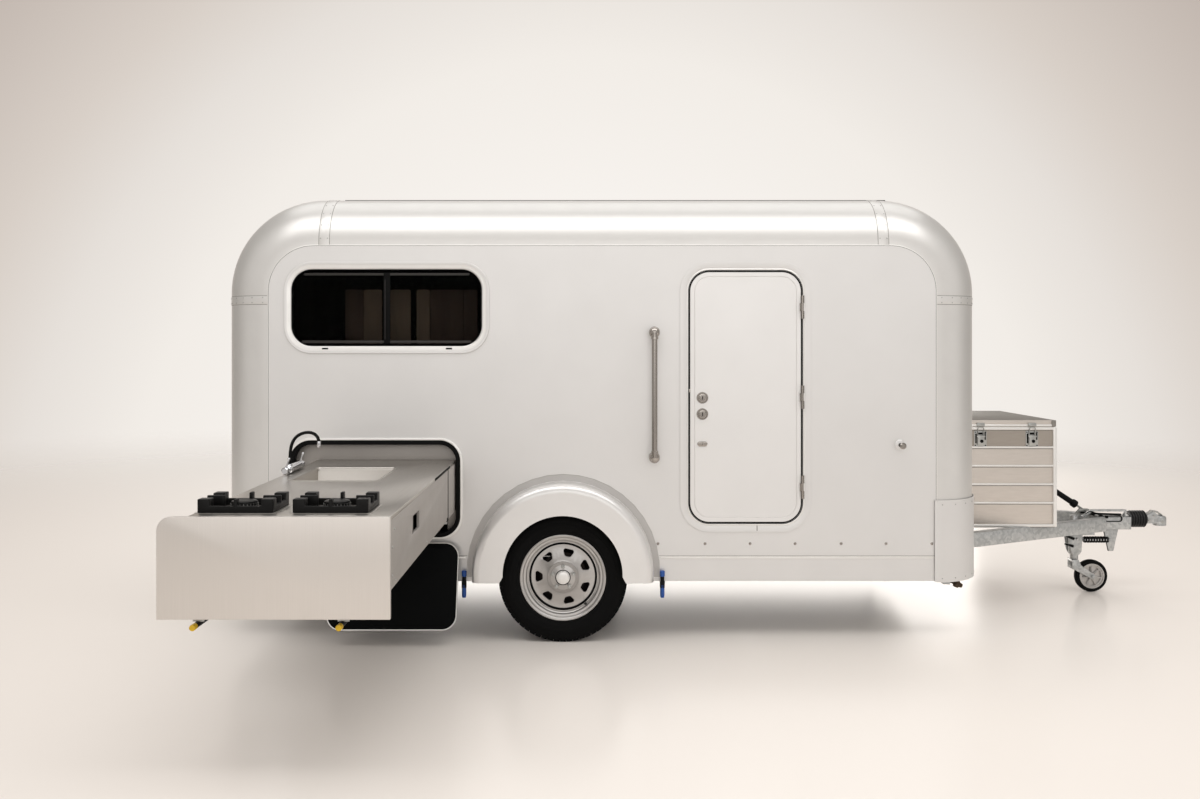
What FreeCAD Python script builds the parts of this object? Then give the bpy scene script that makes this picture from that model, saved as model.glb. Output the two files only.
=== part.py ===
"""Compact camping trailer with a slide-out kitchen, as a parametric document.

Millimetres. The model is drawn on its own ground: X = 0 at the road axle and
forward towards the coupling, Y = 0 on the centre line with +Y to the left,
Z = 0 on the ground. Every sub-part is then placed so that the origin of the
finished frame is the centre of the tow ball's socket.
"""
import FreeCAD, Part
import math
import os
import re

import Sketcher

SHEET = "Sizes"

# Driving dimensions, one cell each
SIZES = {
    # Body shell
    "side_past_track": 22.5,
    "front_reach": 2192,
    "roof_height": 2294,
    "skirt_drop": 173,
    "seam_drop": 44,
    "wall_thickness": 40,
    "edge_radius": 265,
    "panel_corner": 240,
    "floor_thickness": 42,
    "guard_drop": 5,
    "guard_height": 423,
    "guard_stand_off": 6,
    "guard_thickness": 3,
    "guard_wrap": 10,
    # Windows
    "window_offset": 60,
    "window_width": 973,
    "window_drop": 394,
    "window_height": 386,
    "window_corner": 100,
    "window_flange": 44,
    "flange_thickness": 8,
    "sleeve_width": 12,
    "glass_thickness": 6,
    # Door
    "door_clearance": 149,
    "door_width": 584,
    "door_sill": 85,
    "door_drop": 397,
    "door_corner": 105,
    "door_gap": 6,
    "door_flange": 46,
    "door_flange_thickness": 4,
    "hinge_setback": 14,
    "hinge_pin_radius": 4,
    "hinge_barrel_radius": 9,
    "hinge_height": 120,
    "door_hinge_radius": 6,
    "door_hinge_leaf": 9,
    "door_pin_radius": 3,
    "hinge_end_inset": 187,
    "pin_clearance": 0.05,
    "knuckle_gap": 0.5,
    "door_lock_radius": 30,
    "upper_lock_height": 647,
    "lower_lock_height": 563,
    "keyhole_height": 409,
    "lock_depth": 16,
    "catch_inset": 187,
    "catch_height": 488,
    "catch_reach": 60,
    # Grab rail
    "grab_setback": 181,
    "grab_height": 428,
    "grab_length": 642,
    "rail_bar_radius": 15,
    "rail_foot_radius": 28,
    "rail_stand_off": 62,
    # Kitchen opening
    "kitchen_clearance": 20,
    "kitchen_post_gap": 101,
    "kitchen_clear_width": 834,
    "sill_height": 35,
    "kitchen_clear_height": 455,
    "kitchen_corner": 85,
    "seal_width": 23,
    "trim_width": 12,
    "trim_thickness": 6,
    # Kitchen drawer
    "drawer_travel": 1672,
    "panel_seat_gap": 2,
    "panel_side_gap": 6,
    "panel_sill_gap": 9,
    "drawer_front_height": 361.5,
    "drawer_front_thickness": 20,
    "drawer_front_corner": 50,
    "worktop_rear_inset": 104,
    "worktop_thickness": 15,
    "runner_clearance": 20,
    "drawer_wall": 12,
    "drawer_end_inset": 60,
    "back_plate_thickness": 10,
    "back_plate_lap": 10,
    "back_plate_setback": 10,
    "runner_notch_gap": 5,
    "box_slot_setback": 426,
    "box_slot_length": 169,
    "box_slot_rise": 116,
    "box_slot_height": 70,
    "runner_rise": 24,
    "runner_height": 56,
    "runner_width": 15,
    "runner_gap": 0.5,
    "runner_inset": 48,
    "carriage_length": 1250,
    "carriage_out": 850,
    "slide_overlap": 420,
    "burner_size": 272,
    "burner_depth": 200,
    "burner_offset": 42,
    "burner_height": 50,
    "burner_gap": 70,
    "burner_setback": 60,
    "grate_bar": 12,
    "grate_corner": 44,
    "grate_finger": 66,
    "burner_cap_radius": 48,
    "sink_width": 384,
    "sink_length": 470,
    "sink_depth": 160,
    "sink_wall": 2,
    "sink_front": 920,
    "sink_side_inset": 246,
    "tap_radius": 20,
    "tap_length": 290,
    "tap_side_inset": 12,
    "tap_inner_end": 290,
    "spout_radius": 8,
    "spout_reach": 136,
    "spout_height": 90,
    "leg_radius": 11,
    "leg_length": 480,
    "leg_drop": 146,
    "leg_side_inset": 103,
    "leg_spread": 523,
    # Drop flap below the kitchen
    "flap_front_outset": 21,
    "flap_width": 653,
    "flap_height": 434,
    "flap_thickness": 16,
    "flap_corner": 72,
    "flap_pin_offset": 24,
    "flap_lean": 16.7,
    # Wheels and fenders
    "tyre_radius": 328,
    "tyre_width": 205,
    "rim_radius": 219,
    "rim_width": 184,
    "wheel_track": 1955,
    "drum_radius": 118,
    "drum_depth": 62,
    "stub_radius": 20,
    "hub_radius": 76,
    "cap_radius": 31,
    "disc_cap_reach": 96,
    "disc_hub_reach": 80,
    "disc_dish": 50,
    "disc_thickness": 12,
    "disc_back": 60,
    "rim_windows": 7,
    "rim_window_inner": 104,
    "rim_window_depth": 38,
    "rim_window_width": 70,
    "rim_window_tip": 28,
    "rim_window_corner": 11,
    "fender_gap": 134,
    "fender_flange": 38,
    "fender_lift": 22,
    "fender_clearance": 50,
    "fender_foot_rise": 15,
    "arch_flare": 28,
    "arch_flare_height": 30,
    "fender_wall": 4,
    "fender_round": 42,
    "arch_cover": 25,
    "wheel_box_gap": 72,
    "wheel_box_wall": 8,
    "wheel_box_clearance": 25,
    # Axle and chassis
    "rail_top": 468,
    "rail_depth": 80,
    "rail_width": 50,
    "rail_side_inset": 350,
    "rail_end_inset": 92,
    "axle_beam_x": 170,
    "axle_beam_drop": 50,
    "axle_beam_radius": 45,
    "axle_arm_clearance": 45,
    "axle_arm_width": 30,
    "axle_arm_height": 64,
    # Drawbar, coupling and hand brake
    "drawbar_reach": 1058,
    "drawbar_side_gap": 7,
    "drawbar_end_outer": 113,
    "drawbar_rail_width": 56,
    "housing_length": 183,
    "housing_half": 50,
    "housing_drop": 4,
    "head_reach": 197,
    "ball_height": 430,
    "socket_radius": 25.2,
    "socket_mouth_depth": 23,
    "socket_roof_rise": 15,
    "head_radius": 38,
    "head_rise": 26,
    "head_heel": 88,
    "head_crest": 46,
    "head_crest_rise": 60,
    "head_casting_half": 28,
    "shaft_radius": 25,
    "shaft_rise": 16,
    "bellows_radius": 49,
    "bellows_length": 108,
    "lever_setback": 50,
    "lever_reach": 212,
    "lever_rise": 140,
    "lever_rod": 12,
    "lever_grip": 32,
    "lever_grip_length": 268,
    "lever_pivot_rise": 20,
    "lever_foot": 26,
    "line_radius": 3,
    "line_loop_setback": 38,
    "line_loop_length": 70,
    "line_loop_height": 33,
    "line_clamp_length": 18,
    "line_clamp_drop": 14,
    "line_tail": 40,
    "line_eye": 14,
    "lever_y": 70,
    # Jockey wheel
    "jockey_setback": 144,
    "jockey_trail": 102,
    "jockey_wheel_radius": 98,
    "jockey_wheel_width": 44,
    "jockey_rim_radius": 72,
    "jockey_leg_radius": 24,
    "jockey_sleeve_radius": 32,
    "jockey_sleeve_bottom": 233,
    "jockey_crown": 186,
    "jockey_crown_thickness": 14,
    "jockey_plate_rear": 60,
    "jockey_plate_front": 45,
    "jockey_blade": 6,
    "jockey_axle_radius": 6,
    "crank_reach": 240,
    "crank_drop": 140,
    "crank_width": 62,
    "crank_grip_length": 150,
    "crank_grip_radius": 18,
    # Corner steadies
    "steady_inset": 400,
    "steady_side_inset": 150,
    "steady_drop": 103,
    "steady_length": 345,
    "steady_section": 36,
    "steady_pin_radius": 8,
    # Storage box
    "box_gap": 13,
    "box_length": 605,
    "box_width": 800,
    "box_height": 613,
    "box_wall": 4,
    "lid_height": 38,
    "lid_gap": 1,
    "box_hinge_radius": 6,
    # Roof, cabin and small fittings
    "solar_rear_inset": 45,
    "solar_front_reach": 110,
    "solar_width": 1060,
    "solar_thickness": 34,
    "bunk_clearance": 30,
    "bunk_thickness": 18,
    "mattress_height": 110,
    "bunk_gap": 12,
    "lamp_height": 150,
    "lamp_width": 110,
    "lamp_rise": 196,
    "lamp_inset": 135,
    "drain_reach_rear": 510,
    "drain_reach_front": 510,
    "drain_radius": 13,
    "contact_gap": 0.3,
    "overcut": 20,
}

# Places that follow from the driving dimensions
PLACES = {
    "half_track": "wheel_track / 2",
    "half_width": "half_track + side_past_track",
    "body_width": "2 * half_width",
    "wheel_box_radius": "tyre_radius + wheel_box_gap",
    "fender_radius": "tyre_radius + fender_gap",
    "fender_flange_radius": "fender_radius + fender_flange",
    "fender_depth": "half_track + tyre_width / 2 + fender_clearance - half_width",
    "fender_centre": "tyre_radius + fender_lift",
    "fender_bottom": "tyre_radius - fender_foot_rise",
    "arch_opening": "tyre_radius - arch_cover",
    "wheel_box_inner": "half_track - tyre_width / 2 - wheel_box_clearance",
    "kitchen_rim": "seal_width + trim_width",
    "kitchen_front": "-(fender_flange_radius + kitchen_clearance + kitchen_rim)",
    "kitchen_rear": "kitchen_front - kitchen_clear_width",
    "kitchen_centre": "kitchen_front - kitchen_clear_width / 2",
    "flat_rear": "kitchen_rear - kitchen_rim - kitchen_post_gap",
    "rear_overhang": "edge_radius - flat_rear",
    "skirt_bottom": "rail_top - skirt_drop",
    "skirt_seam": "rail_top - seam_drop",
    "guard_bottom": "skirt_bottom - guard_drop",
    "guard_top": "guard_bottom + guard_height",
    "flat_front": "front_reach - edge_radius",
    "flat_top": "roof_height - edge_radius",
    "bend_radius": "edge_radius + panel_corner",
    "bend_rear": "bend_radius - rear_overhang",
    "bend_front": "front_reach - bend_radius",
    "bend_foot": "roof_height - bend_radius",
    "flat_side": "half_width - edge_radius",
    "inner_side": "half_width - wall_thickness",
    "floor_top": "rail_top + floor_thickness",
    "rail_bottom": "rail_top - rail_depth",
    "rail_rear": "rail_end_inset - rear_overhang",
    "rail_front": "front_reach - rail_end_inset",
    "rail_spread": "half_width - rail_side_inset",
    "window_centre": "kitchen_centre + window_offset",
    "window_bottom": "roof_height - window_drop - window_height",
    "door_rear": "fender_flange_radius + door_clearance",
    "door_front": "door_rear + door_width",
    "door_bottom": "floor_top + door_sill",
    "door_top": "roof_height - door_drop",
    "door_height": "door_top - door_bottom",
    "leaf_rear": "door_rear + door_gap",
    "leaf_front": "door_front - door_gap",
    "leaf_bottom": "door_bottom + door_gap",
    "leaf_top": "door_top - door_gap",
    "hinge_x": "door_front",
    "hinge_y": "half_width + hinge_setback",
    "catch_x": "flat_front - catch_inset",
    "catch_z": "floor_top + catch_height",
    "grab_x": "door_rear - grab_setback",
    "grab_bottom": "floor_top + grab_height",
    "grab_top": "grab_bottom + grab_length",
    "kitchen_sill": "floor_top + sill_height",
    "kitchen_lintel": "kitchen_sill + kitchen_clear_height",
    "panel_bottom": "kitchen_sill + panel_sill_gap",
    "panel_top": "panel_bottom + drawer_front_height",
    "panel_rear": "kitchen_rear + panel_side_gap",
    "panel_front": "kitchen_front - panel_side_gap",
    "panel_back_y": "half_width + trim_thickness + panel_seat_gap + drawer_travel",
    "front_panel_y": "panel_back_y + drawer_front_thickness",
    "worktop_rear": "panel_rear + worktop_rear_inset",
    "worktop_front": "panel_front - contact_gap",
    "worktop_under": "panel_top - worktop_thickness",
    "runner_bottom": "panel_bottom + runner_rise",
    "runner_top": "runner_bottom + runner_height",
    "drawer_box_bottom": "runner_top + runner_clearance",
    "drawer_inner_end": "inner_side - drawer_end_inset",
    "flap_top": "kitchen_sill - kitchen_rim",
    "flap_front": "kitchen_front + flap_front_outset",
    "flap_rear": "flap_front - flap_width",
    "flap_pin_y": "half_width + flap_pin_offset",
    "axle_beam_z": "rail_bottom - axle_beam_drop",
    "axle_arm_y": "half_track - tyre_width / 2 - axle_arm_clearance - axle_arm_width",
    "drawbar_front": "front_reach + drawbar_reach",
    "drawbar_start_outer": "rail_spread + rail_width / 2 + drawbar_side_gap",
    "housing_front": "drawbar_front + housing_length",
    "coupling_reach": "housing_front + head_reach",
    "frame_shift": "-coupling_reach",
    "socket_mouth": "ball_height - socket_mouth_depth",
    "socket_roof": "ball_height + socket_roof_rise",
    "head_top": "ball_height + head_rise",
    "shaft_height": "ball_height + shaft_rise",
    "jockey_x": "drawbar_front - jockey_setback",
    "steady_front": "rail_front - steady_inset",
    "steady_rear": "rail_rear + steady_inset",
    "steady_y": "half_width - steady_side_inset",
    "steady_z": "rail_bottom - steady_drop",
    "box_rear": "front_reach + box_gap",
    "box_floor": "rail_top",
    "box_top": "box_floor + box_height",
    "box_front": "box_rear + box_length",
    "solar_rear": "bend_rear + solar_rear_inset",
    "solar_front": "bend_front + solar_front_reach",
    "bunk_height": "kitchen_lintel + bunk_clearance",
    "bunk_front": "-(wheel_box_radius + wheel_box_wall + bunk_gap)",
    "lamp_z": "skirt_seam + lamp_rise",
}

doc = FreeCAD.newDocument("CampingTrailer")
sheet = doc.addObject("Spreadsheet::Sheet", SHEET)
NODES = []


def fill_sheet():
    """Write each driving dimension as a plain number with its alias."""
    for row, (alias, value) in enumerate(SIZES.items(), start=1):
        sheet.set(f"A{row}", alias)
        sheet.set(f"B{row}", str(value))
        sheet.setAlias(f"B{row}", alias)
    doc.recompute()


def cells(text):
    """Turn the size names in an expression into references to the sheet."""
    def swap(match):
        word = match.group(0)
        if word in PLACES:
            return "(" + cells(PLACES[word]) + ")"
        return f"{SHEET}.{word}" if word in SIZES else word
    return re.sub(r"[a-z][a-z_]*", swap, str(text))


def bind(thing, **sizes):
    """Bind properties of an object to expressions of the sheet's sizes."""
    for name, text in sizes.items():
        thing.setExpression(name.replace("__", "."), cells(text))


def place(thing, x="0", y="0", z="0"):
    """Bind the position of an object."""
    bind(thing, Placement__Base__x=x, Placement__Base__y=y, Placement__Base__z=z)


def node(name, shape_object, x="0", y="0", z="0"):
    """Make an object a sub-part of the trailer, in the finished frame."""
    shape_object.Label = name
    place(shape_object, f"frame_shift + ({x})", y, f"({z}) - ball_height")
    NODES.append(shape_object)
    return shape_object


def block(name, x_span, y_span, z_span):
    """Box between two values on each axis."""
    box = doc.addObject("Part::Box", name)
    spans = (x_span, y_span, z_span)
    lengths = [f"({high}) - ({low})" for low, high in spans]
    bind(box, Length=lengths[0], Width=lengths[1], Height=lengths[2])
    place(box, x_span[0], y_span[0], z_span[0])
    return box


TURNS = {
    "X": FreeCAD.Rotation(FreeCAD.Vector(0, 1, 0), 90),
    "Y": FreeCAD.Rotation(FreeCAD.Vector(1, 0, 0), -90),
    "Z": FreeCAD.Rotation(),
}


def rod(name, axis, centre, radius, span):
    """Cylinder along an axis; centre gives the two other coordinates in order."""
    cylinder = doc.addObject("Part::Cylinder", name)
    bind(cylinder, Radius=radius, Height=f"({span[1]}) - ({span[0]})")
    cylinder.Placement.Rotation = TURNS[axis]
    spots = list(centre)
    spots.insert("XYZ".index(axis), span[0])
    place(cylinder, *spots)
    return cylinder


def compound(name, *parts):
    """Several solids kept apart under one name."""
    group = doc.addObject("Part::Compound", name)
    group.Links = list(parts)
    return group


def fuse(name, *parts):
    """Several touching solids joined into one."""
    union = doc.addObject("Part::MultiFuse", name)
    union.Shapes = list(parts)
    return union


def cut(name, base, *tools):
    """A solid with one or more others taken away."""
    tool = tools[0] if len(tools) == 1 else fuse(f"{name}_tools", *tools)
    difference = doc.addObject("Part::Cut", name)
    difference.Base = base
    difference.Tool = tool
    return difference


def common(name, first, second):
    """What two solids share."""
    shared = doc.addObject("Part::Common", name)
    shared.Base = first
    shared.Tool = second
    return shared


def mirrored(name, source):
    """The same piece on the other side of the centre line."""
    twin = doc.addObject("Part::Mirroring", name)
    twin.Source = source
    twin.Base = FreeCAD.Vector(0, 0, 0)
    twin.Normal = FreeCAD.Vector(0, 1, 0)
    return twin


def both_sides(name, source):
    """A piece and its mirror image as one compound."""
    return compound(name, source, mirrored(f"{name}_twin", source))


def outline_sketch(body, name, role, points):
    """Closed outline of straight lines through points bound to the sheet."""
    sketch = body.newObject("Sketcher::SketchObject", name)
    plane = [part for part in body.Origin.OriginFeatures if part.Role == role][0]
    sketch.AttachmentSupport = [(plane, "")]
    sketch.MapMode = "FlatFace"
    count = len(points)
    ring = []
    for index in range(count):
        angle = 2 * math.pi * (index + 0.3) / count
        ring.append(FreeCAD.Vector(100 * math.cos(angle), 100 * math.sin(angle), 0))
    for index in range(count):
        sketch.addGeometry(Part.LineSegment(ring[index], ring[(index + 1) % count]), False)
    for index in range(count):
        follower = (index + 1) % count
        sketch.addConstraint(Sketcher.Constraint("Coincident", index, 2, follower, 1))
    for index, (across, up) in enumerate(points):
        spot = ring[index]
        for kind, text, start in (("DistanceX", across, spot.x), ("DistanceY", up, spot.y)):
            number = sketch.addConstraint(Sketcher.Constraint(kind, -1, 1, index, 1, start))
            sketch.setExpression(f"Constraints[{number}]", cells(text))
    return sketch


PLANES = {"X": "YZ_Plane", "Y": "XZ_Plane", "Z": "XY_Plane"}


def rounded(body, name, feature, radius, choose):
    """Fillet of the edges of a feature that a test picks out."""
    doc.recompute()
    picked = []
    for number, edge in enumerate(feature.Shape.Edges, start=1):
        if choose(edge):
            picked.append(f"Edge{number}")
    fillet = body.newObject("PartDesign::Fillet", name)
    fillet.Base = (feature, picked)
    bind(fillet, Radius=radius)
    return fillet


def along(axis):
    """Test for straight edges that run along an axis."""
    def runs(edge):
        direction = edge.tangentAt(edge.FirstParameter)
        straight = edge.Curve.TypeId == "Part::GeomLine"
        return straight and abs(direction["XYZ".index(axis)]) > 0.999
    return runs


def prism(name, axis, points, span, radius=None, choose=None):
    """Outline padded along an axis, with its long edges rounded if asked."""
    body = doc.addObject("PartDesign::Body", name)
    sketch = outline_sketch(body, f"{name}_outline", PLANES[axis], points)
    sign = "-1 * " if axis == "Y" else ""
    bind(sketch, AttachmentOffset__Base__z=f"{sign}({span[0]})")
    pad = body.newObject("PartDesign::Pad", f"{name}_pad")
    pad.Profile = (sketch, [""])
    pad.Reversed = axis == "Y"
    bind(pad, Length=f"({span[1]}) - ({span[0]})")
    if radius:
        doc.recompute()
        middle = pad.Shape.BoundBox.Center

        def corner(edge):
            return along(axis)(edge) and (choose is None or choose(edge.CenterOfMass, middle))
        rounded(body, f"{name}_corners", pad, radius, corner)
    return body


def rectangle(low_across, high_across, low_up, high_up):
    """The four corners of a rectangle."""
    return [(low_across, low_up), (high_across, low_up), (high_across, high_up), (low_across, high_up)]


def turned(name, axis, profile, radius=None, choose=None):
    """Profile of (along the axis, out from it) points turned a full circle."""
    body = doc.addObject("PartDesign::Body", name)
    points = [(out, run) for run, out in profile] if axis == "Z" else profile
    role = "YZ_Plane" if axis == "Y" else "XZ_Plane"
    sketch = outline_sketch(body, f"{name}_profile", role, points)
    turn = body.newObject("PartDesign::Revolution", f"{name}_turn")
    turn.Profile = (sketch, [""])
    turn.ReferenceAxis = (sketch, ["V_Axis" if axis == "Z" else "H_Axis"])
    turn.Angle = 360
    if radius:
        rounded(body, f"{name}_rounds", turn, radius, choose)
    return body


# Body shell


def shell_block(name, grow, bottom):
    """The whole rounded body form, grown outwards by a distance."""
    body = doc.addObject("PartDesign::Body", name)
    points = rectangle(f"-rear_overhang - ({grow})", f"front_reach + {grow}",
                       bottom, f"roof_height + {grow}")
    sketch = outline_sketch(body, f"{name}_side_view", "XZ_Plane", points)
    pad = body.newObject("PartDesign::Pad", f"{name}_width")
    pad.Profile = (sketch, [""])
    pad.Midplane = True
    bind(pad, Length=f"body_width + 2 * ({grow})")
    doc.recompute()
    middle = (pad.Shape.BoundBox.ZMin + pad.Shape.BoundBox.ZMax) / 2
    bends = rounded(body, f"{name}_bends", pad, f"bend_radius + ({grow})",
                    lambda edge: along("Y")(edge) and edge.CenterOfMass.z > middle)
    doc.recompute()
    box = bends.Shape.BoundBox

    def on_side(edge):
        bottom_edge = edge.BoundBox.ZMax < box.ZMin + 1
        flat = edge.BoundBox.YLength < 1
        return flat and not bottom_edge
    rounded(body, f"{name}_edges", bends, f"edge_radius + ({grow})", on_side)
    return body


def side_window_hole(name, side):
    """Prism through the wall for a window's sleeve."""
    low, high = ("-half_width - overcut", "-inner_side + overcut")
    if side > 0:
        low, high = ("inner_side - overcut", "half_width + overcut")
    points = rectangle("window_centre - window_width / 2 - sleeve_width",
                       "window_centre + window_width / 2 + sleeve_width",
                       "window_bottom - sleeve_width",
                       "window_bottom + window_height + sleeve_width")
    return prism(name, "Y", points, (low, high), "window_corner + sleeve_width")


def build_shell():
    """Flat panels, swept edge rails and corner bends of the body."""
    outer = shell_block("outer_form", "0", "skirt_bottom")
    inner = shell_block("inner_form", "-wall_thickness", "skirt_bottom - overcut")
    shell = cut("shell", outer, inner)
    flat = rectangle("flat_rear", "flat_front", "skirt_seam", "flat_top")

    def top(point, middle):
        return point.z > middle.z
    slabs = {}
    for side, label in ((-1, "right"), (1, "left")):
        span = ("-half_width", "-inner_side") if side < 0 else ("inner_side", "half_width")
        slabs[label] = prism(f"slab_{label}", "Y", flat, span, "panel_corner", top)
    arches = both_sides("arch_cuts", rod("arch_cut", "Y", ("0", "tyre_radius"),
                                         "wheel_box_radius", ("-half_width - overcut", "-inner_side + overcut")))
    door_hole = prism("door_hole", "Y",
                      rectangle("door_rear - sleeve_width", "door_front + sleeve_width",
                                "door_bottom - sleeve_width", "door_top + sleeve_width"),
                      ("-half_width - overcut", "-inner_side + overcut"),
                      "door_corner + sleeve_width")
    kitchen_hole = prism("kitchen_hole", "Y",
                         rectangle("kitchen_rear - seal_width", "kitchen_front + seal_width",
                                   "kitchen_sill - seal_width", "kitchen_lintel + seal_width"),
                         ("-half_width - overcut", "-inner_side + overcut"),
                         "kitchen_corner + seal_width")
    node("wall_right", cut("wall_right_cut", slabs["right"], arches, door_hole, kitchen_hole,
                           side_window_hole("window_hole_right", -1)))
    node("wall_left", cut("wall_left_cut", slabs["left"], arches,
                          side_window_hole("window_hole_left", 1)))
    node("roof", compound("roof_panel", block("roof_flat", ("bend_rear", "bend_front"),
                                              ("-flat_side", "flat_side"),
                                              ("roof_height - wall_thickness", "roof_height"))))
    rear_wall = block("rear_flat", ("-rear_overhang", "-rear_overhang + wall_thickness"),
                      ("-flat_side", "flat_side"), ("skirt_seam", "bend_foot"))
    front_wall = block("front_flat", ("front_reach - wall_thickness", "front_reach"),
                       ("-flat_side", "flat_side"), ("skirt_seam", "bend_foot"))
    notch = block("drawbar_notch", ("front_reach - wall_thickness - overcut", "front_reach + overcut"),
                  ("-drawbar_start_outer", "drawbar_start_outer"),
                  ("rail_bottom - housing_drop", "rail_top"))
    node("end_walls", compound("end_panels", rear_wall, cut("front_notched", front_wall, notch)))
    bends = []
    for label, low, high in (("rear", "-rear_overhang", "bend_rear"),
                             ("front", "bend_front", "front_reach")):
        region = block(f"bend_zone_{label}", (low, high), ("-flat_side", "flat_side"),
                       ("bend_foot", "roof_height"))
        bends.append(common(f"bend_{label}", shell, region))
    node("roof_bends", compound("roof_bend_pair", *bends))
    build_edges(shell, slabs)
    ring = block("skirt_zone", ("-rear_overhang", "front_reach"), ("-half_width", "half_width"),
                 ("skirt_bottom", "skirt_seam"))
    node("skirt", cut("skirt_cut", common("skirt_ring", shell, ring), arches, notch))
    build_guards()


def build_edges(shell, slabs):
    """Quarter-round posts, rails and the swept bends that join them."""
    ends = (("rear", ("-rear_overhang", "flat_rear"), ("-rear_overhang", "bend_rear")),
            ("front", ("flat_front", "front_reach"), ("bend_front", "front_reach")))
    sides = (("right", ("-half_width", "-flat_side")), ("left", ("flat_side", "half_width")))
    posts, bends, rails = [], [], []
    for side, across in sides:
        for end, post_span, bend_span in ends:
            name = f"{end}_{side}"
            zone = block(f"post_zone_{name}", post_span, across, ("skirt_seam", "bend_foot"))
            posts.append(common(f"post_{name}", shell, zone))
            corner = block(f"corner_zone_{name}", bend_span, across, ("bend_foot", "roof_height"))
            swept = common(f"corner_{name}", shell, corner)
            bends.append(cut(f"swept_{name}", swept, slabs[side]))
        zone = block(f"rail_zone_{side}", ("bend_rear", "bend_front"), across,
                     ("flat_top", "roof_height"))
        rails.append(common(f"rail_{side}", shell, zone))
    node("corner_posts", compound("post_set", *posts))
    node("corner_bends", compound("bend_set", *bends))
    node("roof_rails", compound("rail_set", *rails))


def build_guards():
    """Curved guard plates that stand off the two lower front corners."""
    centre = ("flat_front", "-flat_side")
    inner = "edge_radius + guard_stand_off"
    outer = "edge_radius + guard_stand_off + guard_thickness"
    span = ("guard_bottom", "guard_top")
    sheet_ring = cut("guard_ring", rod("guard_outer", "Z", centre, outer, span),
                     rod("guard_inner", "Z", centre, inner, ("guard_bottom - overcut",
                                                             "guard_top + overcut")))
    zone = block("guard_zone", ("flat_front", "front_reach + 2 * overcut"),
                 ("-half_width - 2 * overcut", "-flat_side"), span)
    plate = common("guard_quarter", sheet_ring, zone)
    y_outer = "-half_width - guard_stand_off - guard_thickness"
    wing = block("guard_wing", ("flat_front - guard_wrap", "flat_front"),
                 (y_outer, "-half_width - guard_stand_off"), span)
    studs = []
    for level in ("guard_bottom + 2 * overcut", "guard_top - 2 * overcut"):
        studs.append(rod(f"guard_stud_{len(studs)}", "Y", ("flat_front - guard_wrap / 2", level),
                         "hinge_pin_radius", ("-half_width - guard_stand_off", "-half_width")))
    guard = fuse("guard_plate", plate, wing, *studs)
    node("corner_guards", both_sides("guard_pair", guard))


# Windows, door and their frames


def ring_frame(name, hole, corner, flange, flange_thickness, sleeve):
    """Flange on the outside of the right wall with a sleeve through it."""
    low_x, high_x, low_z, high_z = hole

    def plate(tag, grow, span):
        points = rectangle(f"{low_x} - ({grow})", f"{high_x} + {grow}",
                           f"{low_z} - ({grow})", f"{high_z} + {grow}")
        return prism(f"{name}_{tag}", "Y", points, span, f"{corner} + {grow}")
    face = plate("face", flange, (f"-half_width - {flange_thickness}", "-half_width"))
    through = plate("sleeve", sleeve, ("-half_width", "-inner_side"))
    clear = plate("clear", "0", ("-half_width - overcut", "-inner_side + overcut"))
    return cut(f"{name}_ring", fuse(f"{name}_solid", face, through), clear)


def build_windows():
    """One sliding window in each side wall."""
    hole = ("window_centre - window_width / 2", "window_centre + window_width / 2",
            "window_bottom", "window_bottom + window_height")
    ring = ring_frame("window", hole, "window_corner", "window_flange",
                      "flange_thickness", "sleeve_width")
    node("window_frames", both_sides("window_frame_pair", ring))
    pane = prism("pane", "Y", rectangle(*hole),
                 ("-half_width", "-half_width + glass_thickness"), "window_corner")
    node("window_glass", both_sides("pane_pair", pane))


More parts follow.
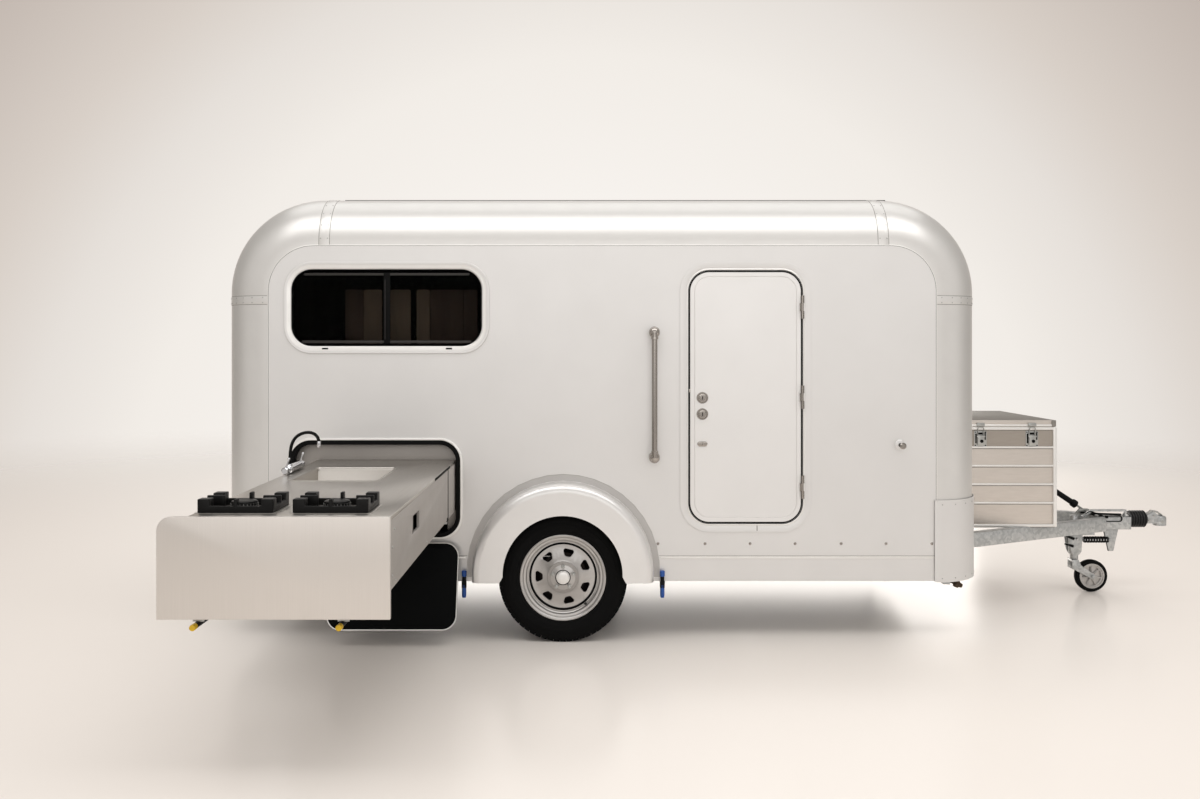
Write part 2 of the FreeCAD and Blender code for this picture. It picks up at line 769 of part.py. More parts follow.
def build_door():
    """Entry door with its frame, three hinges and locks."""
    hole = ("door_rear", "door_front", "door_bottom", "door_top")
    surround = ring_frame("door_surround", hole, "door_corner", "door_flange",
                          "door_flange_thickness", "sleeve_width")
    leaf = prism("leaf", "Y", rectangle("leaf_rear", "leaf_front", "leaf_bottom", "leaf_top"),
                 ("-half_width", "-inner_side"), "door_corner - door_gap")
    fixed, moving = [], []
    third = "hinge_height / 3"
    for number, middle in enumerate(("door_bottom + hinge_end_inset",
                                     "door_bottom + door_height / 2",
                                     "door_top - hinge_end_inset")):
        foot = f"({middle}) - hinge_height / 2"
        centre = ("hinge_x", "-hinge_y")
        for part, lift in (("low", "0"), ("high", f"2 * {third}")):
            base = f"({foot}) + {lift}"
            knuckle = rod(f"hinge_{part}_{number}", "Z", centre, "door_hinge_radius",
                          (base, f"({base}) + {third}"))
            wing = block(f"hinge_{part}_leaf_{number}", ("hinge_x", "hinge_x + door_hinge_leaf"),
                         ("-hinge_y", "-half_width - door_flange_thickness"),
                         (base, f"({base}) + {third}"))
            fixed += [knuckle, wing]
        fixed.append(rod(f"hinge_pin_{number}", "Z", centre, "door_pin_radius",
                         (foot, f"({foot}) + hinge_height")))
        low = f"({foot}) + {third} + knuckle_gap"
        high = f"({foot}) + 2 * {third} - knuckle_gap"
        barrel = rod(f"hinge_mid_{number}", "Z", centre, "door_hinge_radius", (low, high))
        arm = block(f"hinge_arm_{number}", ("leaf_front - door_hinge_leaf", "hinge_x"),
                    ("-hinge_y - door_pin_radius", "-hinge_y + door_pin_radius"), (low, high))
        pad = block(f"hinge_pad_{number}", ("leaf_front - door_hinge_leaf", "leaf_front"),
                    ("-hinge_y", "-half_width"), (low, high))
        bore = rod(f"hinge_bore_{number}", "Z", centre, "door_pin_radius + pin_clearance",
                   (f"{low} - overcut", f"{high} + overcut"))
        moving.append(cut(f"hinge_strap_{number}",
                          fuse(f"hinge_strap_solid_{number}", barrel, arm, pad), bore))
    fixed_sets = [fuse(f"hinge_fixed_{k}", *fixed[5 * k:5 * k + 5]) for k in range(3)]
    node("door_frame", fuse("frame_with_hinges", surround, *fixed_sets))
    node("door_leaf", fuse("leaf_with_hinges", leaf, *moving))
    locks = []
    for number, (level, radius) in enumerate((("upper_lock_height", "door_lock_radius"),
                                              ("lower_lock_height", "door_lock_radius"),
                                              ("keyhole_height", "door_lock_radius / 2"))):
        locks.append(rod(f"lock_{number}", "Y", ("leaf_rear + 2.1 * door_lock_radius",
                                                 f"door_bottom + {level}"), radius,
                         ("-half_width - lock_depth", "-half_width")))
    node("door_locks", compound("lock_set", *locks))
    catch = fuse("catch_solid",
                 rod("catch_foot", "Y", ("catch_x", "catch_z"), "rail_foot_radius",
                     ("-half_width - trim_thickness", "-half_width")),
                 rod("catch_stem", "Y", ("catch_x", "catch_z"), "rail_bar_radius",
                     ("-half_width - catch_reach", "-half_width")))
    node("door_catch", catch)


def build_grab_rail():
    """Vertical rail on two round feet beside the door."""
    y_bar = "-half_width - rail_stand_off"
    parts = [rod("rail_bar", "Z", ("grab_x", y_bar), "rail_bar_radius",
                 ("grab_bottom - rail_bar_radius", "grab_top + rail_bar_radius"))]
    for number, level in enumerate(("grab_bottom", "grab_top")):
        parts.append(rod(f"rail_foot_{number}", "Y", ("grab_x", level), "rail_foot_radius",
                         ("-half_width - trim_thickness", "-half_width")))
        parts.append(rod(f"rail_stem_{number}", "Y", ("grab_x", level), "rail_bar_radius",
                         (y_bar, "-half_width")))
    node("grab_rail", fuse("rail_solid", *parts))


# Kitchen


def build_kitchen_opening():
    """Trim and seal around the kitchen opening and the fixed runners."""
    hole = ("kitchen_rear", "kitchen_front", "kitchen_sill", "kitchen_lintel")

    def plate(tag, grow, span):
        low_x, high_x, low_z, high_z = hole
        points = rectangle(f"{low_x} - ({grow})", f"{high_x} + {grow}",
                           f"{low_z} - ({grow})", f"{high_z} + {grow}")
        return prism(f"kitchen_{tag}", "Y", points, span, f"kitchen_corner + {grow}")
    outside = ("-half_width - trim_thickness", "-half_width")
    wide = ("-half_width - overcut", "-inner_side + overcut")
    trim = cut("kitchen_trim", plate("trim_face", "seal_width + trim_width", outside),
               plate("trim_clear", "seal_width", wide))
    seal = cut("kitchen_seal_ring",
               plate("seal_solid", "seal_width", ("-half_width - trim_thickness", "-inner_side")),
               plate("seal_clear", "0", wide))
    node("kitchen_seal", seal)
    node("kitchen_frame", compound("frame_and_hinge", trim, flap_hinge()))
    rails = []
    for label, start in runner_starts(0):
        rail = block(f"fixed_runner_{label}", (start, f"{start} + runner_width"),
                     ("-inner_side + overcut", "inner_side - 2 * overcut"),
                     ("runner_bottom", "runner_top"))
        feet = []
        for number, spot in enumerate(("-0.8 * inner_side", "0", "0.8 * inner_side")):
            feet.append(block(f"runner_foot_{label}_{number}", (start, f"{start} + runner_width"),
                              (spot, f"{spot} + 3 * overcut"), ("floor_top", "runner_bottom")))
        rails.append(fuse(f"fixed_runner_set_{label}", rail, *feet))
    node("kitchen_runners", compound("fixed_runners", *rails))


def runner_starts(step):
    """Low X of the fixed, carriage and drawer runners, from outside inwards."""
    shift = f"{step} * (runner_width + runner_gap)"
    rear = f"worktop_rear + runner_inset + {shift}"
    front = f"worktop_front - runner_inset - runner_width - {shift}"
    return (("rear", rear), ("front", front))


def build_carriage():
    """Middle members of the telescopic runners."""
    rails = []
    for label, start in runner_starts(1):
        rails.append(block(f"middle_runner_{label}", (start, f"{start} + runner_width"),
                           ("-inner_side - carriage_out",
                            "-inner_side - carriage_out + carriage_length"),
                           ("runner_bottom", "runner_top")))
    node("carriage_rails", compound("middle_runners", *rails))


def build_drawer():
    """Slide-out kitchen: box, front, worktop, sink, burners, tap and legs."""
    inner_end = "-drawer_inner_end"
    outer_span = ("-panel_back_y", inner_end)
    tray = block("tray_outer", ("worktop_rear", "worktop_front"), outer_span,
                 ("drawer_box_bottom", "worktop_under"))
    space = block("tray_space", ("worktop_rear + drawer_wall", "worktop_front - drawer_wall"),
                  ("-panel_back_y + drawer_wall", f"{inner_end} - drawer_wall"),
                  ("drawer_box_bottom + drawer_wall", "worktop_under + overcut"))
    slot_y = "-panel_back_y + box_slot_setback"
    slot_z = "drawer_box_bottom + box_slot_rise"
    slot = block("tray_slot", ("worktop_front - 2 * drawer_wall", "worktop_front + drawer_wall"),
                 (slot_y, f"{slot_y} + box_slot_length"), (slot_z, f"{slot_z} + box_slot_height"))
    rails = [build_back_plate()]
    for label, start in runner_starts(2):
        rails.append(block(f"drawer_runner_{label}", (start, f"{start} + runner_width"),
                           ("-panel_back_y", "-inner_side - carriage_out + slide_overlap"),
                           ("runner_bottom", "drawer_box_bottom")))
    node("drawer_box", fuse("drawer_tray", cut("tray_hollow", tray, space, slot), *rails))

    def outer_top(point, middle):
        return point.x < middle.x and point.z > middle.z
    panel = prism("front_panel", "Y", rectangle("panel_rear", "panel_front",
                                                "panel_bottom", "panel_top"),
                  ("-front_panel_y", "-panel_back_y"), "drawer_front_corner",
                  outer_top)
    node("drawer_front", panel)
    sink_rear = "worktop_front - sink_side_inset - sink_width"
    sink_x = (sink_rear, f"{sink_rear} + sink_width")
    sink_y = ("-half_width - sink_length - tap_inner_end", "-half_width - tap_inner_end")
    slab = block("worktop_slab", ("worktop_rear", "worktop_front"), outer_span,
                 ("worktop_under", "panel_top"))
    hole = block("sink_hole", sink_x, sink_y, ("worktop_under - overcut", "panel_top + overcut"))
    bowl = block("bowl_outer", sink_x, sink_y, ("panel_top - sink_depth", "panel_top"))
    shrink = "sink_wall"
    bowl_space = block("bowl_space", (f"{sink_x[0]} + {shrink}", f"{sink_x[1]} - {shrink}"),
                       (f"{sink_y[0]} + {shrink}", f"{sink_y[1]} - {shrink}"),
                       (f"panel_top - sink_depth + {shrink}", "panel_top + overcut"))
    node("worktop", fuse("worktop_solid", cut("worktop_cut", slab, hole),
                         cut("sink_bowl", bowl, bowl_space)))
    build_burners()
    build_tap()


def build_back_plate():
    """Plate inside the opening that travels with the drawer's inner end."""
    lap = "back_plate_lap"
    plate = prism("back_plate", "Y", rectangle(f"kitchen_rear - {lap}", f"kitchen_front + {lap}",
                                               f"kitchen_sill - {lap}", f"kitchen_lintel + {lap}"),
                  ("-inner_side + back_plate_setback",
                   "-inner_side + back_plate_setback + back_plate_thickness"),
                  f"kitchen_corner + {lap}")
    across = ("-inner_side", "-inner_side + 3 * back_plate_setback")
    gap = "runner_notch_gap"
    tools = [block("plate_worktop_cut", ("worktop_rear", "worktop_front"), across,
                   ("worktop_under", "panel_top"))]
    for label, start in runner_starts(0):
        low = start if label == "rear" else f"{start} - runner_width - runner_gap"
        high = f"{low} + 2 * runner_width + runner_gap"
        tools.append(block(f"plate_notch_{label}", (f"{low} - {gap}", f"{high} + {gap}"), across,
                           ("floor_top", f"runner_top + {gap}")))
    return cut("back_plate_cut", plate, *tools)


def build_burners():
    """Two cast grates side by side at the outer end of the worktop."""
    burners = []
    bar = "grate_bar"
    spans = ("burner_size", "burner_depth")
    fingers = ("grate_finger", "grate_finger - (burner_size - burner_depth) / 2")
    half_up = "panel_top + burner_height / 2"
    full_up = "panel_top + burner_height"
    pair_x = "(worktop_rear + worktop_front) / 2 - burner_offset"
    for label, shift in (("rear", "-burner_size - burner_gap / 2"), ("front", "burner_gap / 2")):
        low = (f"{pair_x} + ({shift})", "-panel_back_y + burner_setback")
        middle = [f"{low[way]} + {spans[way]} / 2" for way in (0, 1)]
        frame = block(f"grate_{label}", *[(low[way], f"{low[way]} + {spans[way]}") for way in (0, 1)],
                      ("panel_top", half_up))
        inside = block(f"grate_space_{label}",
                       *[(f"{low[way]} + {bar}", f"{low[way]} + {spans[way]} - {bar}") for way in (0, 1)],
                       ("panel_top - overcut", f"{full_up} + overcut"))
        parts = [cut(f"grate_ring_{label}", frame, inside)]
        for number in range(4):
            far = (number % 2, number // 2)
            spot = [f"{low[way]} + {spans[way]} - grate_corner" if far[way] else low[way] for way in (0, 1)]
            parts.append(block(f"grate_corner_{label}_{number}",
                               *[(spot[way], f"{spot[way]} + grate_corner") for way in (0, 1)],
                               ("panel_top", full_up)))
            way, end = number % 2, number // 2
            start = f"{low[way]} + {spans[way]} - ({fingers[way]})" if end else low[way]
            reach = (start, f"{start} + {fingers[way]}")
            thin = (f"{middle[1 - way]} - {bar} / 2", f"{middle[1 - way]} + {bar} / 2")
            parts.append(block(f"grate_finger_{label}_{number}", *((thin, reach) if way else (reach, thin)),
                               ("panel_top", full_up)))
        cap = rod(f"burner_cap_{label}", "Z", tuple(middle), "burner_cap_radius", ("panel_top", half_up))
        burners += [fuse(f"burner_{label}", *parts), cap]
    node("burners", compound("burner_pair", *burners))


def build_tap():
    """Mixer lying along the worktop's edge, its arched spout, and the legs."""
    axis_x = "worktop_rear + tap_side_inset"
    axis_z = "panel_top + tap_radius"
    far = "-half_width - tap_inner_end"
    node("tap_mixer", compound("mixer", rod("mixer_barrel", "Y", (axis_x, axis_z), "tap_radius",
                                            (f"{far} - tap_length", far))))
    spout_y = f"{far} - 0.7 * tap_length"
    bow = "spout_reach / 2"
    ring = doc.addObject("Part::Torus", "spout_bow")
    bind(ring, Radius1=bow, Radius2="spout_radius")
    ring.Angle3 = 180
    ring.Placement.Rotation = FreeCAD.Rotation(FreeCAD.Vector(1, 0, 0), 90)
    place(ring, f"{axis_x} + {bow}", spout_y, f"{axis_z} + spout_height + tap_radius")
    riser = rod("spout_riser", "Z", (axis_x, spout_y), "spout_radius",
                (f"{axis_z} + tap_radius", f"{axis_z} + spout_height + tap_radius"))
    nozzle = rod("spout_nozzle", "Z", (f"{axis_x} + spout_reach", spout_y), "spout_radius",
                 (f"{axis_z} + 0.7 * spout_height", f"{axis_z} + spout_height + tap_radius"))
    node("tap_spout", fuse("spout", ring, riser, nozzle))
    legs = []
    for number in range(2):
        x_spot = f"panel_rear + leg_side_inset + {number} * leg_spread"
        z_spot = "drawer_box_bottom - leg_drop"
        tube = rod(f"leg_tube_{number}", "Y", (x_spot, z_spot), "leg_radius",
                   ("-panel_back_y + 2 * overcut", "-panel_back_y + leg_length"))
        hanger = block(f"leg_hanger_{number}", (f"{x_spot} - leg_radius / 2", f"{x_spot} + leg_radius / 2"),
                       ("-panel_back_y + leg_length - 3 * overcut", "-panel_back_y + leg_length - overcut"),
                       (z_spot, "drawer_box_bottom"))
        legs.append(fuse(f"leg_{number}", tube, hanger))
    node("drawer_legs", compound("leg_pair", *legs))


def build_flap():
    """Drop flap that leans out from its hinge under the kitchen opening."""
    body = prism("flap_leaf", "Y", rectangle("flap_rear", "flap_front",
                                             "-flap_height", "0"),
                 ("-flap_thickness / 2", "flap_thickness / 2"), "flap_corner")
    body.Placement.Rotation = FreeCAD.Rotation(FreeCAD.Vector(1, 0, 0), -float(sheet.get("flap_lean")))
    place(body, "0", "-flap_pin_y", "flap_top - flap_pin_offset / 2")
    pin_z = "flap_top - flap_pin_offset / 2"
    tube = rod("flap_knuckle", "X", ("-flap_pin_y", pin_z), "hinge_barrel_radius",
               ("flap_rear + 3 * flap_corner", "flap_front - 3 * flap_corner"))
    bore = rod("flap_bore", "X", ("-flap_pin_y", pin_z), "hinge_pin_radius + pin_clearance",
               ("flap_rear - overcut", "flap_front + overcut"))
    notches = []
    for number, spot in enumerate(flap_ears()):
        notches.append(rod(f"flap_notch_{number}", "X", ("-flap_pin_y", pin_z),
                           "2.2 * hinge_barrel_radius",
                           (f"{spot} - overcut / 2", f"{spot} + 1.5 * overcut")))
    leaf = fuse("flap_solid", cut("flap_notched", body, *notches), tube)
    node("kitchen_flap", cut("flap_bored", leaf, bore))


def flap_ears():
    """Low X of the two ears that carry the flap's pin."""
    return ("flap_rear + 3 * flap_corner - 2 * overcut",
            "flap_front - 3 * flap_corner + overcut")


def flap_hinge():
    """Two ears on the wall and the pin between them."""
    pin_z = "flap_top - flap_pin_offset / 2"
    rear, front = flap_ears()
    parts = [rod("flap_pin", "X", ("-flap_pin_y", pin_z), "hinge_pin_radius",
                 (rear, f"{front} + overcut"))]
    for number, spot in enumerate((rear, front)):
        parts.append(block(f"flap_ear_{number}", (spot, f"{spot} + overcut"),
                           ("-flap_pin_y - hinge_barrel_radius", "-half_width"),
                           (f"{pin_z} - hinge_barrel_radius", f"{pin_z} + hinge_barrel_radius")))
    return fuse("flap_hinge_solid", *parts)


# Wheels, axle and fenders


def wheel_profiles():
    """Turned profiles of the tyre, rim and drum, outboard on negative Y."""
    half = "tyre_width / 2"
    tyre = [(f"-0.88 * {half}", "rim_radius"), (f"-{half}", "rim_radius + 34"),
            (f"-{half}", "tyre_radius - 40"), (f"-0.8 * {half}", "tyre_radius"),
            (f"0.8 * {half}", "tyre_radius"), (half, "tyre_radius - 40"),
            (half, "rim_radius + 34"), (f"0.88 * {half}", "rim_radius")]
    rim = [("-disc_cap_reach", "0"), ("-disc_cap_reach", "cap_radius - 4"),
           ("-disc_hub_reach - 4", "cap_radius + 2"), ("-disc_hub_reach", "hub_radius"),
           ("-disc_hub_reach + 10", "hub_radius + 14"), ("-disc_dish", "hub_radius + 74"),
           ("-disc_dish - 8", "rim_radius - 9"),
           ("-disc_dish - 8 + disc_thickness", "rim_radius - 9"),
           ("-disc_dish + disc_thickness", "hub_radius + 74"),
           ("-disc_back", "hub_radius + 4"), ("-disc_back", "0")]
    return tyre, rim


def rim_window(label, angle):
    """Window through the disc, narrow towards the hub, at an angle about it."""
    points = []
    for out, across in (("rim_window_inner", "-rim_window_tip / 2"),
                        ("rim_window_inner + rim_window_depth", "-rim_window_width / 2"),
                        ("rim_window_inner + rim_window_depth", "rim_window_width / 2"),
                        ("rim_window_inner", "rim_window_tip / 2")):
        turn = f"{angle} * 1deg"
        points.append((f"({out}) * cos({turn}) - ({across}) * sin({turn})",
                       f"({out}) * sin({turn}) + ({across}) * cos({turn})"))
    return prism(f"rim_window_{label}", "Y", points, ("-rim_width", "rim_width"),
                 "rim_window_corner")


def build_wheels():
    """Two road wheels, each a tyre, a rim and a drum on its stub."""
    for side, sign in (("right", "-1"), ("left", "1")):
        tyre_profile, rim_profile = wheel_profiles()
        if side == "left":
            tyre_profile = [(f"-1 * ({run})", out) for run, out in tyre_profile]
            rim_profile = [(f"-1 * ({run})", out) for run, out in rim_profile]
        centre_y = f"{sign} * half_track"
        tyre = turned(f"tyre_{side}_body", "Y", tyre_profile)
        node(f"tyre_{side}", tyre, "0", centre_y, "tyre_radius")
        disc = turned(f"rim_{side}_body", "Y", rim_profile)
        edge = "rim_width / 2"
        barrel = cut(f"barrel_{side}",
                     rod(f"barrel_{side}_solid", "Y", ("0", "0"), "rim_radius", (f"-{edge}", edge)),
                     rod(f"barrel_{side}_space", "Y", ("0", "0"), "rim_radius - 10",
                         (f"-{edge} - overcut", f"{edge} + overcut")))
        holes = [rim_window(f"{side}_{number}", f"(360 * {number} / rim_windows + 26)")
                 for number in range(int(SIZES["rim_windows"]))]
        node(f"rim_{side}", fuse(f"rim_{side}_solid", barrel, cut(f"rim_{side}_cut", disc, *holes)),
             "0", centre_y, "tyre_radius")
        shell = drum_profile()
        if side == "left":
            shell = [(f"-1 * ({run})", out) for run, out in shell]
        node(f"drum_{side}", turned(f"drum_{side}_body", "Y", shell), "0", centre_y, "tyre_radius")


def drum_profile():
    """Turned profile of the brake drum with its bore for the stub."""
    bore = "stub_radius + pin_clearance"
    return [("-disc_back", bore), ("-disc_back", "hub_radius - 14"),
            ("-disc_dish + disc_thickness + contact_gap", "hub_radius - 14"),
            ("-disc_dish + disc_thickness + contact_gap", "drum_radius"),
            ("-disc_dish + disc_thickness + drum_depth", "drum_radius"),
            ("-disc_dish + disc_thickness + drum_depth", bore)]


def build_axle():
    """Cross tube, trailing arms and stubs that carry the wheels."""
    beam = rod("axle_beam", "Y", ("axle_beam_x", "axle_beam_z"), "axle_beam_radius",
               ("-axle_arm_y", "axle_arm_y"))
    parts = [beam]
    for label, sign in (("right", -1), ("left", 1)):
        inner = f"{sign} * axle_arm_y"
        low = f"{inner} - axle_arm_width" if sign < 0 else inner
        parts.append(block(f"arm_{label}", ("-axle_arm_height / 2", "axle_beam_x + axle_beam_radius"),
                           (low, f"{low} + axle_arm_width"),
                           ("tyre_radius - axle_arm_height / 2", "tyre_radius + axle_arm_height / 2")))
        reach = "half_track + disc_back - contact_gap"
        span = (f"-1 * ({reach})", "-axle_arm_y") if sign < 0 else ("axle_arm_y", reach)
        parts.append(rod(f"stub_{label}", "Y", ("0", "tyre_radius"), "stub_radius", span))
        seat = f"{sign} * rail_spread - rail_width / 2"
        parts.append(block(f"axle_seat_{label}", ("axle_beam_x - axle_beam_radius",
                                                  "axle_beam_x + axle_beam_radius"),
                           (seat, f"{seat} + rail_width"), ("axle_beam_z", "rail_bottom")))
    node("axle", fuse("axle_solid", *parts))


def build_fenders():
    """Pressed wheel arches with a flange against the body."""
    wall = "fender_wall"
    outer_profile = [("-fender_depth", "0"), ("-fender_depth", "fender_radius"),
                     ("0", "fender_radius"), ("0", "0")]
    inner_profile = [(f"{wall} - fender_depth", "0"),
                     (f"{wall} - fender_depth", f"fender_radius - {wall}"),
                     ("overcut", f"fender_radius - {wall}"), ("overcut", "0")]

    def outer_rim(edge):
        box = edge.BoundBox
        return box.YLength < 1 and box.ZLength > 1 and box.YMax < -2 * float(sheet.get("overcut"))
    outer = turned("fender_outer", "Y", outer_profile, "fender_round", outer_rim)
    inner = turned("fender_inner", "Y", inner_profile, f"fender_round - {wall}", outer_rim)
    for form in (outer, inner):
        place(form, "0", "-half_width", "fender_centre")
    flange = rod("fender_flange", "Y", ("0", "fender_centre"), "fender_flange_radius",
                 (f"-half_width - {wall}", "-half_width"))
    opening_span = ("-half_width - fender_depth - overcut", "-half_width")
    opening = rod("fender_opening", "Y", ("0", "fender_centre"), "arch_opening", opening_span)
    flare_top = "fender_bottom + arch_flare_height"
    flare = prism("fender_flare", "Y", [("-arch_opening - arch_flare", "fender_bottom - overcut"),
                                        ("arch_opening + arch_flare", "fender_bottom - overcut"),
                                        ("arch_opening", flare_top), ("-arch_opening", flare_top)],
                  opening_span)
    below = block("fender_below", ("-2 * fender_radius", "2 * fender_radius"),
                  ("-2 * half_width", "0"), ("-tyre_radius", "fender_bottom"))
    pressing = cut("fender_cut", fuse("fender_solid", outer, flange), inner, opening, flare, below)
    node("fenders", both_sides("fender_pair", pressing))


# Chassis, drawbar and coupling


def build_floor():
    """Floor slab with the two inner wheel boxes."""
    slab = block("floor_slab", ("-rear_overhang + wall_thickness", "front_reach - wall_thickness"),
                 ("-inner_side", "inner_side"), ("rail_top", "floor_top"))
    outer, inner = [], []
    for label, sign in (("right", -1), ("left", 1)):
        thick = "wheel_box_wall"
        span = ("-inner_side", f"-wheel_box_inner + {thick}")
        clear = ("-half_width - overcut", "-wheel_box_inner")
        if sign > 0:
            span = (f"wheel_box_inner - {thick}", "inner_side")
            clear = ("wheel_box_inner", "half_width + overcut")
        outer.append(rod(f"wheel_box_{label}", "Y", ("0", "tyre_radius"),
                         f"wheel_box_radius + {thick}", span))
        inner.append(rod(f"wheel_space_{label}", "Y", ("0", "tyre_radius"), "wheel_box_radius", clear))
    under = block("under_floor", ("-rear_overhang", "front_reach"), ("-half_width", "half_width"),
                  ("-rail_top", "rail_top"))
    inner_form = shell_block("floor_form", "-wall_thickness", "skirt_bottom")
    trimmed = common("floor_trimmed", slab, inner_form)
    node("floor", cut("floor_cut", fuse("floor_solid", trimmed, *outer), *inner, under))


def build_chassis():
    """Two long rails with cross members under the floor."""
    parts = []
    for label, sign in (("right", -1), ("left", 1)):
        low = f"{sign} * rail_spread - rail_width / 2"
        parts.append(block(f"long_rail_{label}", ("rail_rear", "rail_front"),
                           (low, f"{low} + rail_width"), ("rail_bottom", "rail_top")))
    for number in range(5):
        spot = f"rail_rear + (rail_front - rail_rear - rail_width) * {number} / 4"
        parts.append(block(f"cross_member_{number}", (spot, f"{spot} + rail_width"),
                           ("-rail_spread", "rail_spread"), ("rail_bottom", "rail_top")))
    for end, spot in (("front", "steady_front"), ("rear", "steady_rear")):
        for label, sign in (("right", -1), ("left", 1)):
            parts += steady_bracket(f"{end}_{label}", spot, sign)
    node("chassis", fuse("chassis_solid", *parts))


def steady_bracket(label, spot, sign):
    """Outrigger, two cheeks and the pin that carry one corner steady."""
    middle = f"{sign} * steady_y"
    half = "steady_section / 2"
    cheek = "wheel_box_wall"
    inner = f"{sign} * rail_spread"
    low, high = (inner, f"{middle} + {half} + 2 * {cheek}") if sign > 0 else (
        f"{middle} - {half} - 2 * {cheek}", inner)
    parts = [block(f"outrigger_{label}", (f"{spot} - {half}", f"{spot} + {half}"), (low, high),
                   ("rail_bottom", "rail_bottom + rail_width"))]
    for tag, start in (("a", f"{middle} - {half} - 2 * {cheek}"), ("b", f"{middle} + {half} + {cheek}")):
        parts.append(block(f"cheek_{tag}_{label}", (f"{spot} - {half}", f"{spot} + {half}"),
                           (start, f"{start} + {cheek}"), ("steady_z - steady_section / 2", "rail_bottom")))
    parts.append(rod(f"steady_pin_{label}", "Y", (spot, "steady_z"), "steady_pin_radius",
                     (f"{middle} - {half} - 2 * {cheek}", f"{middle} + {half} + 2 * {cheek}")))
    return parts


def build_steadies():
    """Four corner steadies folded up under the floor."""
    for end, spot, way in (("front", "steady_front", 1), ("rear", "steady_rear", -1)):
        for label, sign in (("right", -1), ("left", 1)):
            name = f"{end}_{label}"
            half = "steady_section / 2"
            middle = f"{sign} * steady_y"
            across = (f"{middle} - {half}", f"{middle} + {half}")
            tip = f"{spot} + {way} * steady_length"
            span = (f"{spot} - {half}", tip) if way > 0 else (tip, f"{spot} + {half}")
            arm = block(f"steady_arm_{name}", span, across,
                        (f"steady_z - {half}", f"steady_z + {half}"))
            low = f"{tip} - steady_section" if way > 0 else tip
            foot = block(f"steady_foot_{name}", (low, f"{low} + steady_section"), across,
                         (f"steady_z - {half} - overcut", f"steady_z - {half}"))
            bore = rod(f"steady_bore_{name}", "Y", (spot, "steady_z"),
                       "steady_pin_radius + pin_clearance",
                       (f"{middle} - 2 * steady_section", f"{middle} + 2 * steady_section"))
            node(f"steady_{name}", cut(f"steady_cut_{name}",
                                       fuse(f"steady_solid_{name}", arm, foot), bore))


def build_drawbar():
    """Two converging rails, the front plate and the overrun housing."""
    rails = []
    for label, sign in (("right", "-1"), ("left", "1")):
        points = [("rail_front", f"{sign} * (drawbar_start_outer - drawbar_rail_width)"),
                  ("rail_front", f"{sign} * drawbar_start_outer"),
                  ("drawbar_front", f"{sign} * drawbar_end_outer"),
                  ("drawbar_front", f"{sign} * (drawbar_end_outer - drawbar_rail_width)")]
        rails.append(prism(f"drawbar_rail_{label}", "Z", points, ("rail_bottom", "rail_top")))
    plate = block("drawbar_plate", ("drawbar_front - overcut", "drawbar_front"),
                  ("-drawbar_end_outer", "drawbar_end_outer"), ("rail_bottom", "rail_top"))
    beam = block("box_beam", ("box_rear + box_wall", "box_rear + rail_width"),
                 ("-rail_spread + rail_width", "rail_spread - rail_width"),
                 ("rail_bottom", "rail_top"))
    housing = block("housing_block", ("drawbar_front", "housing_front"),
                    ("-housing_half", "housing_half"), ("rail_bottom", "rail_top - housing_drop"))
    node("drawbar", fuse("drawbar_solid", *rails, plate, beam, housing))
    shaft = rod("coupling_shaft", "X", ("0", "shaft_height"), "shaft_radius",
                ("housing_front", "coupling_reach"))
    head = rod("coupling_dome", "Z", ("coupling_reach", "0"), "head_radius",
               ("socket_mouth", "head_top"))
    socket = rod("ball_bore", "Z", ("coupling_reach", "0"), "socket_radius",
                 ("socket_mouth - overcut", "socket_roof"))
    casting = prism("head_casting", "Y", [
        ("coupling_reach - head_heel", "shaft_height - shaft_radius"),
        ("coupling_reach - head_heel", "shaft_height + shaft_radius"),
        ("coupling_reach - head_crest", "ball_height + head_crest_rise"),
        ("coupling_reach", "head_top"), ("coupling_reach", "shaft_height - shaft_radius")],
                    ("-head_casting_half", "head_casting_half"))
    node("coupling_head", cut("head_bored", fuse("head_solid", shaft, head, casting), socket))
    ribs = [("housing_front", "shaft_radius")]
    count = 5
    for number in range(count):
        low = f"housing_front + bellows_length * {number} / {count}"
        ribs.append((low, "bellows_radius - 8"))
        ribs.append((f"{low} + bellows_length / {2 * count}", "bellows_radius"))
    ribs.append(("housing_front + bellows_length", "bellows_radius - 8"))
    ribs.append(("housing_front + bellows_length", "shaft_radius"))
    bellows = turned("bellows_body", "X", ribs)
    node("bellows", bellows, "0", "0", "shaft_height")
    node("handbrake", build_handbrake())
    node("safety_line", build_safety_line())


def half_ring(name, centre, radius, thick, turn):
    """Half of a round ring that stands lengthwise; turn is 90 for its rear half, -90 for its front."""
    ring = doc.addObject("Part::Torus", name)
    bind(ring, Radius1=radius, Radius2=thick)
    ring.Angle3 = 180
    ring.Placement.Rotation = TURNS["Y"] * FreeCAD.Rotation(FreeCAD.Vector(0, 0, 1), turn)
    place(ring, *centre)
    return ring


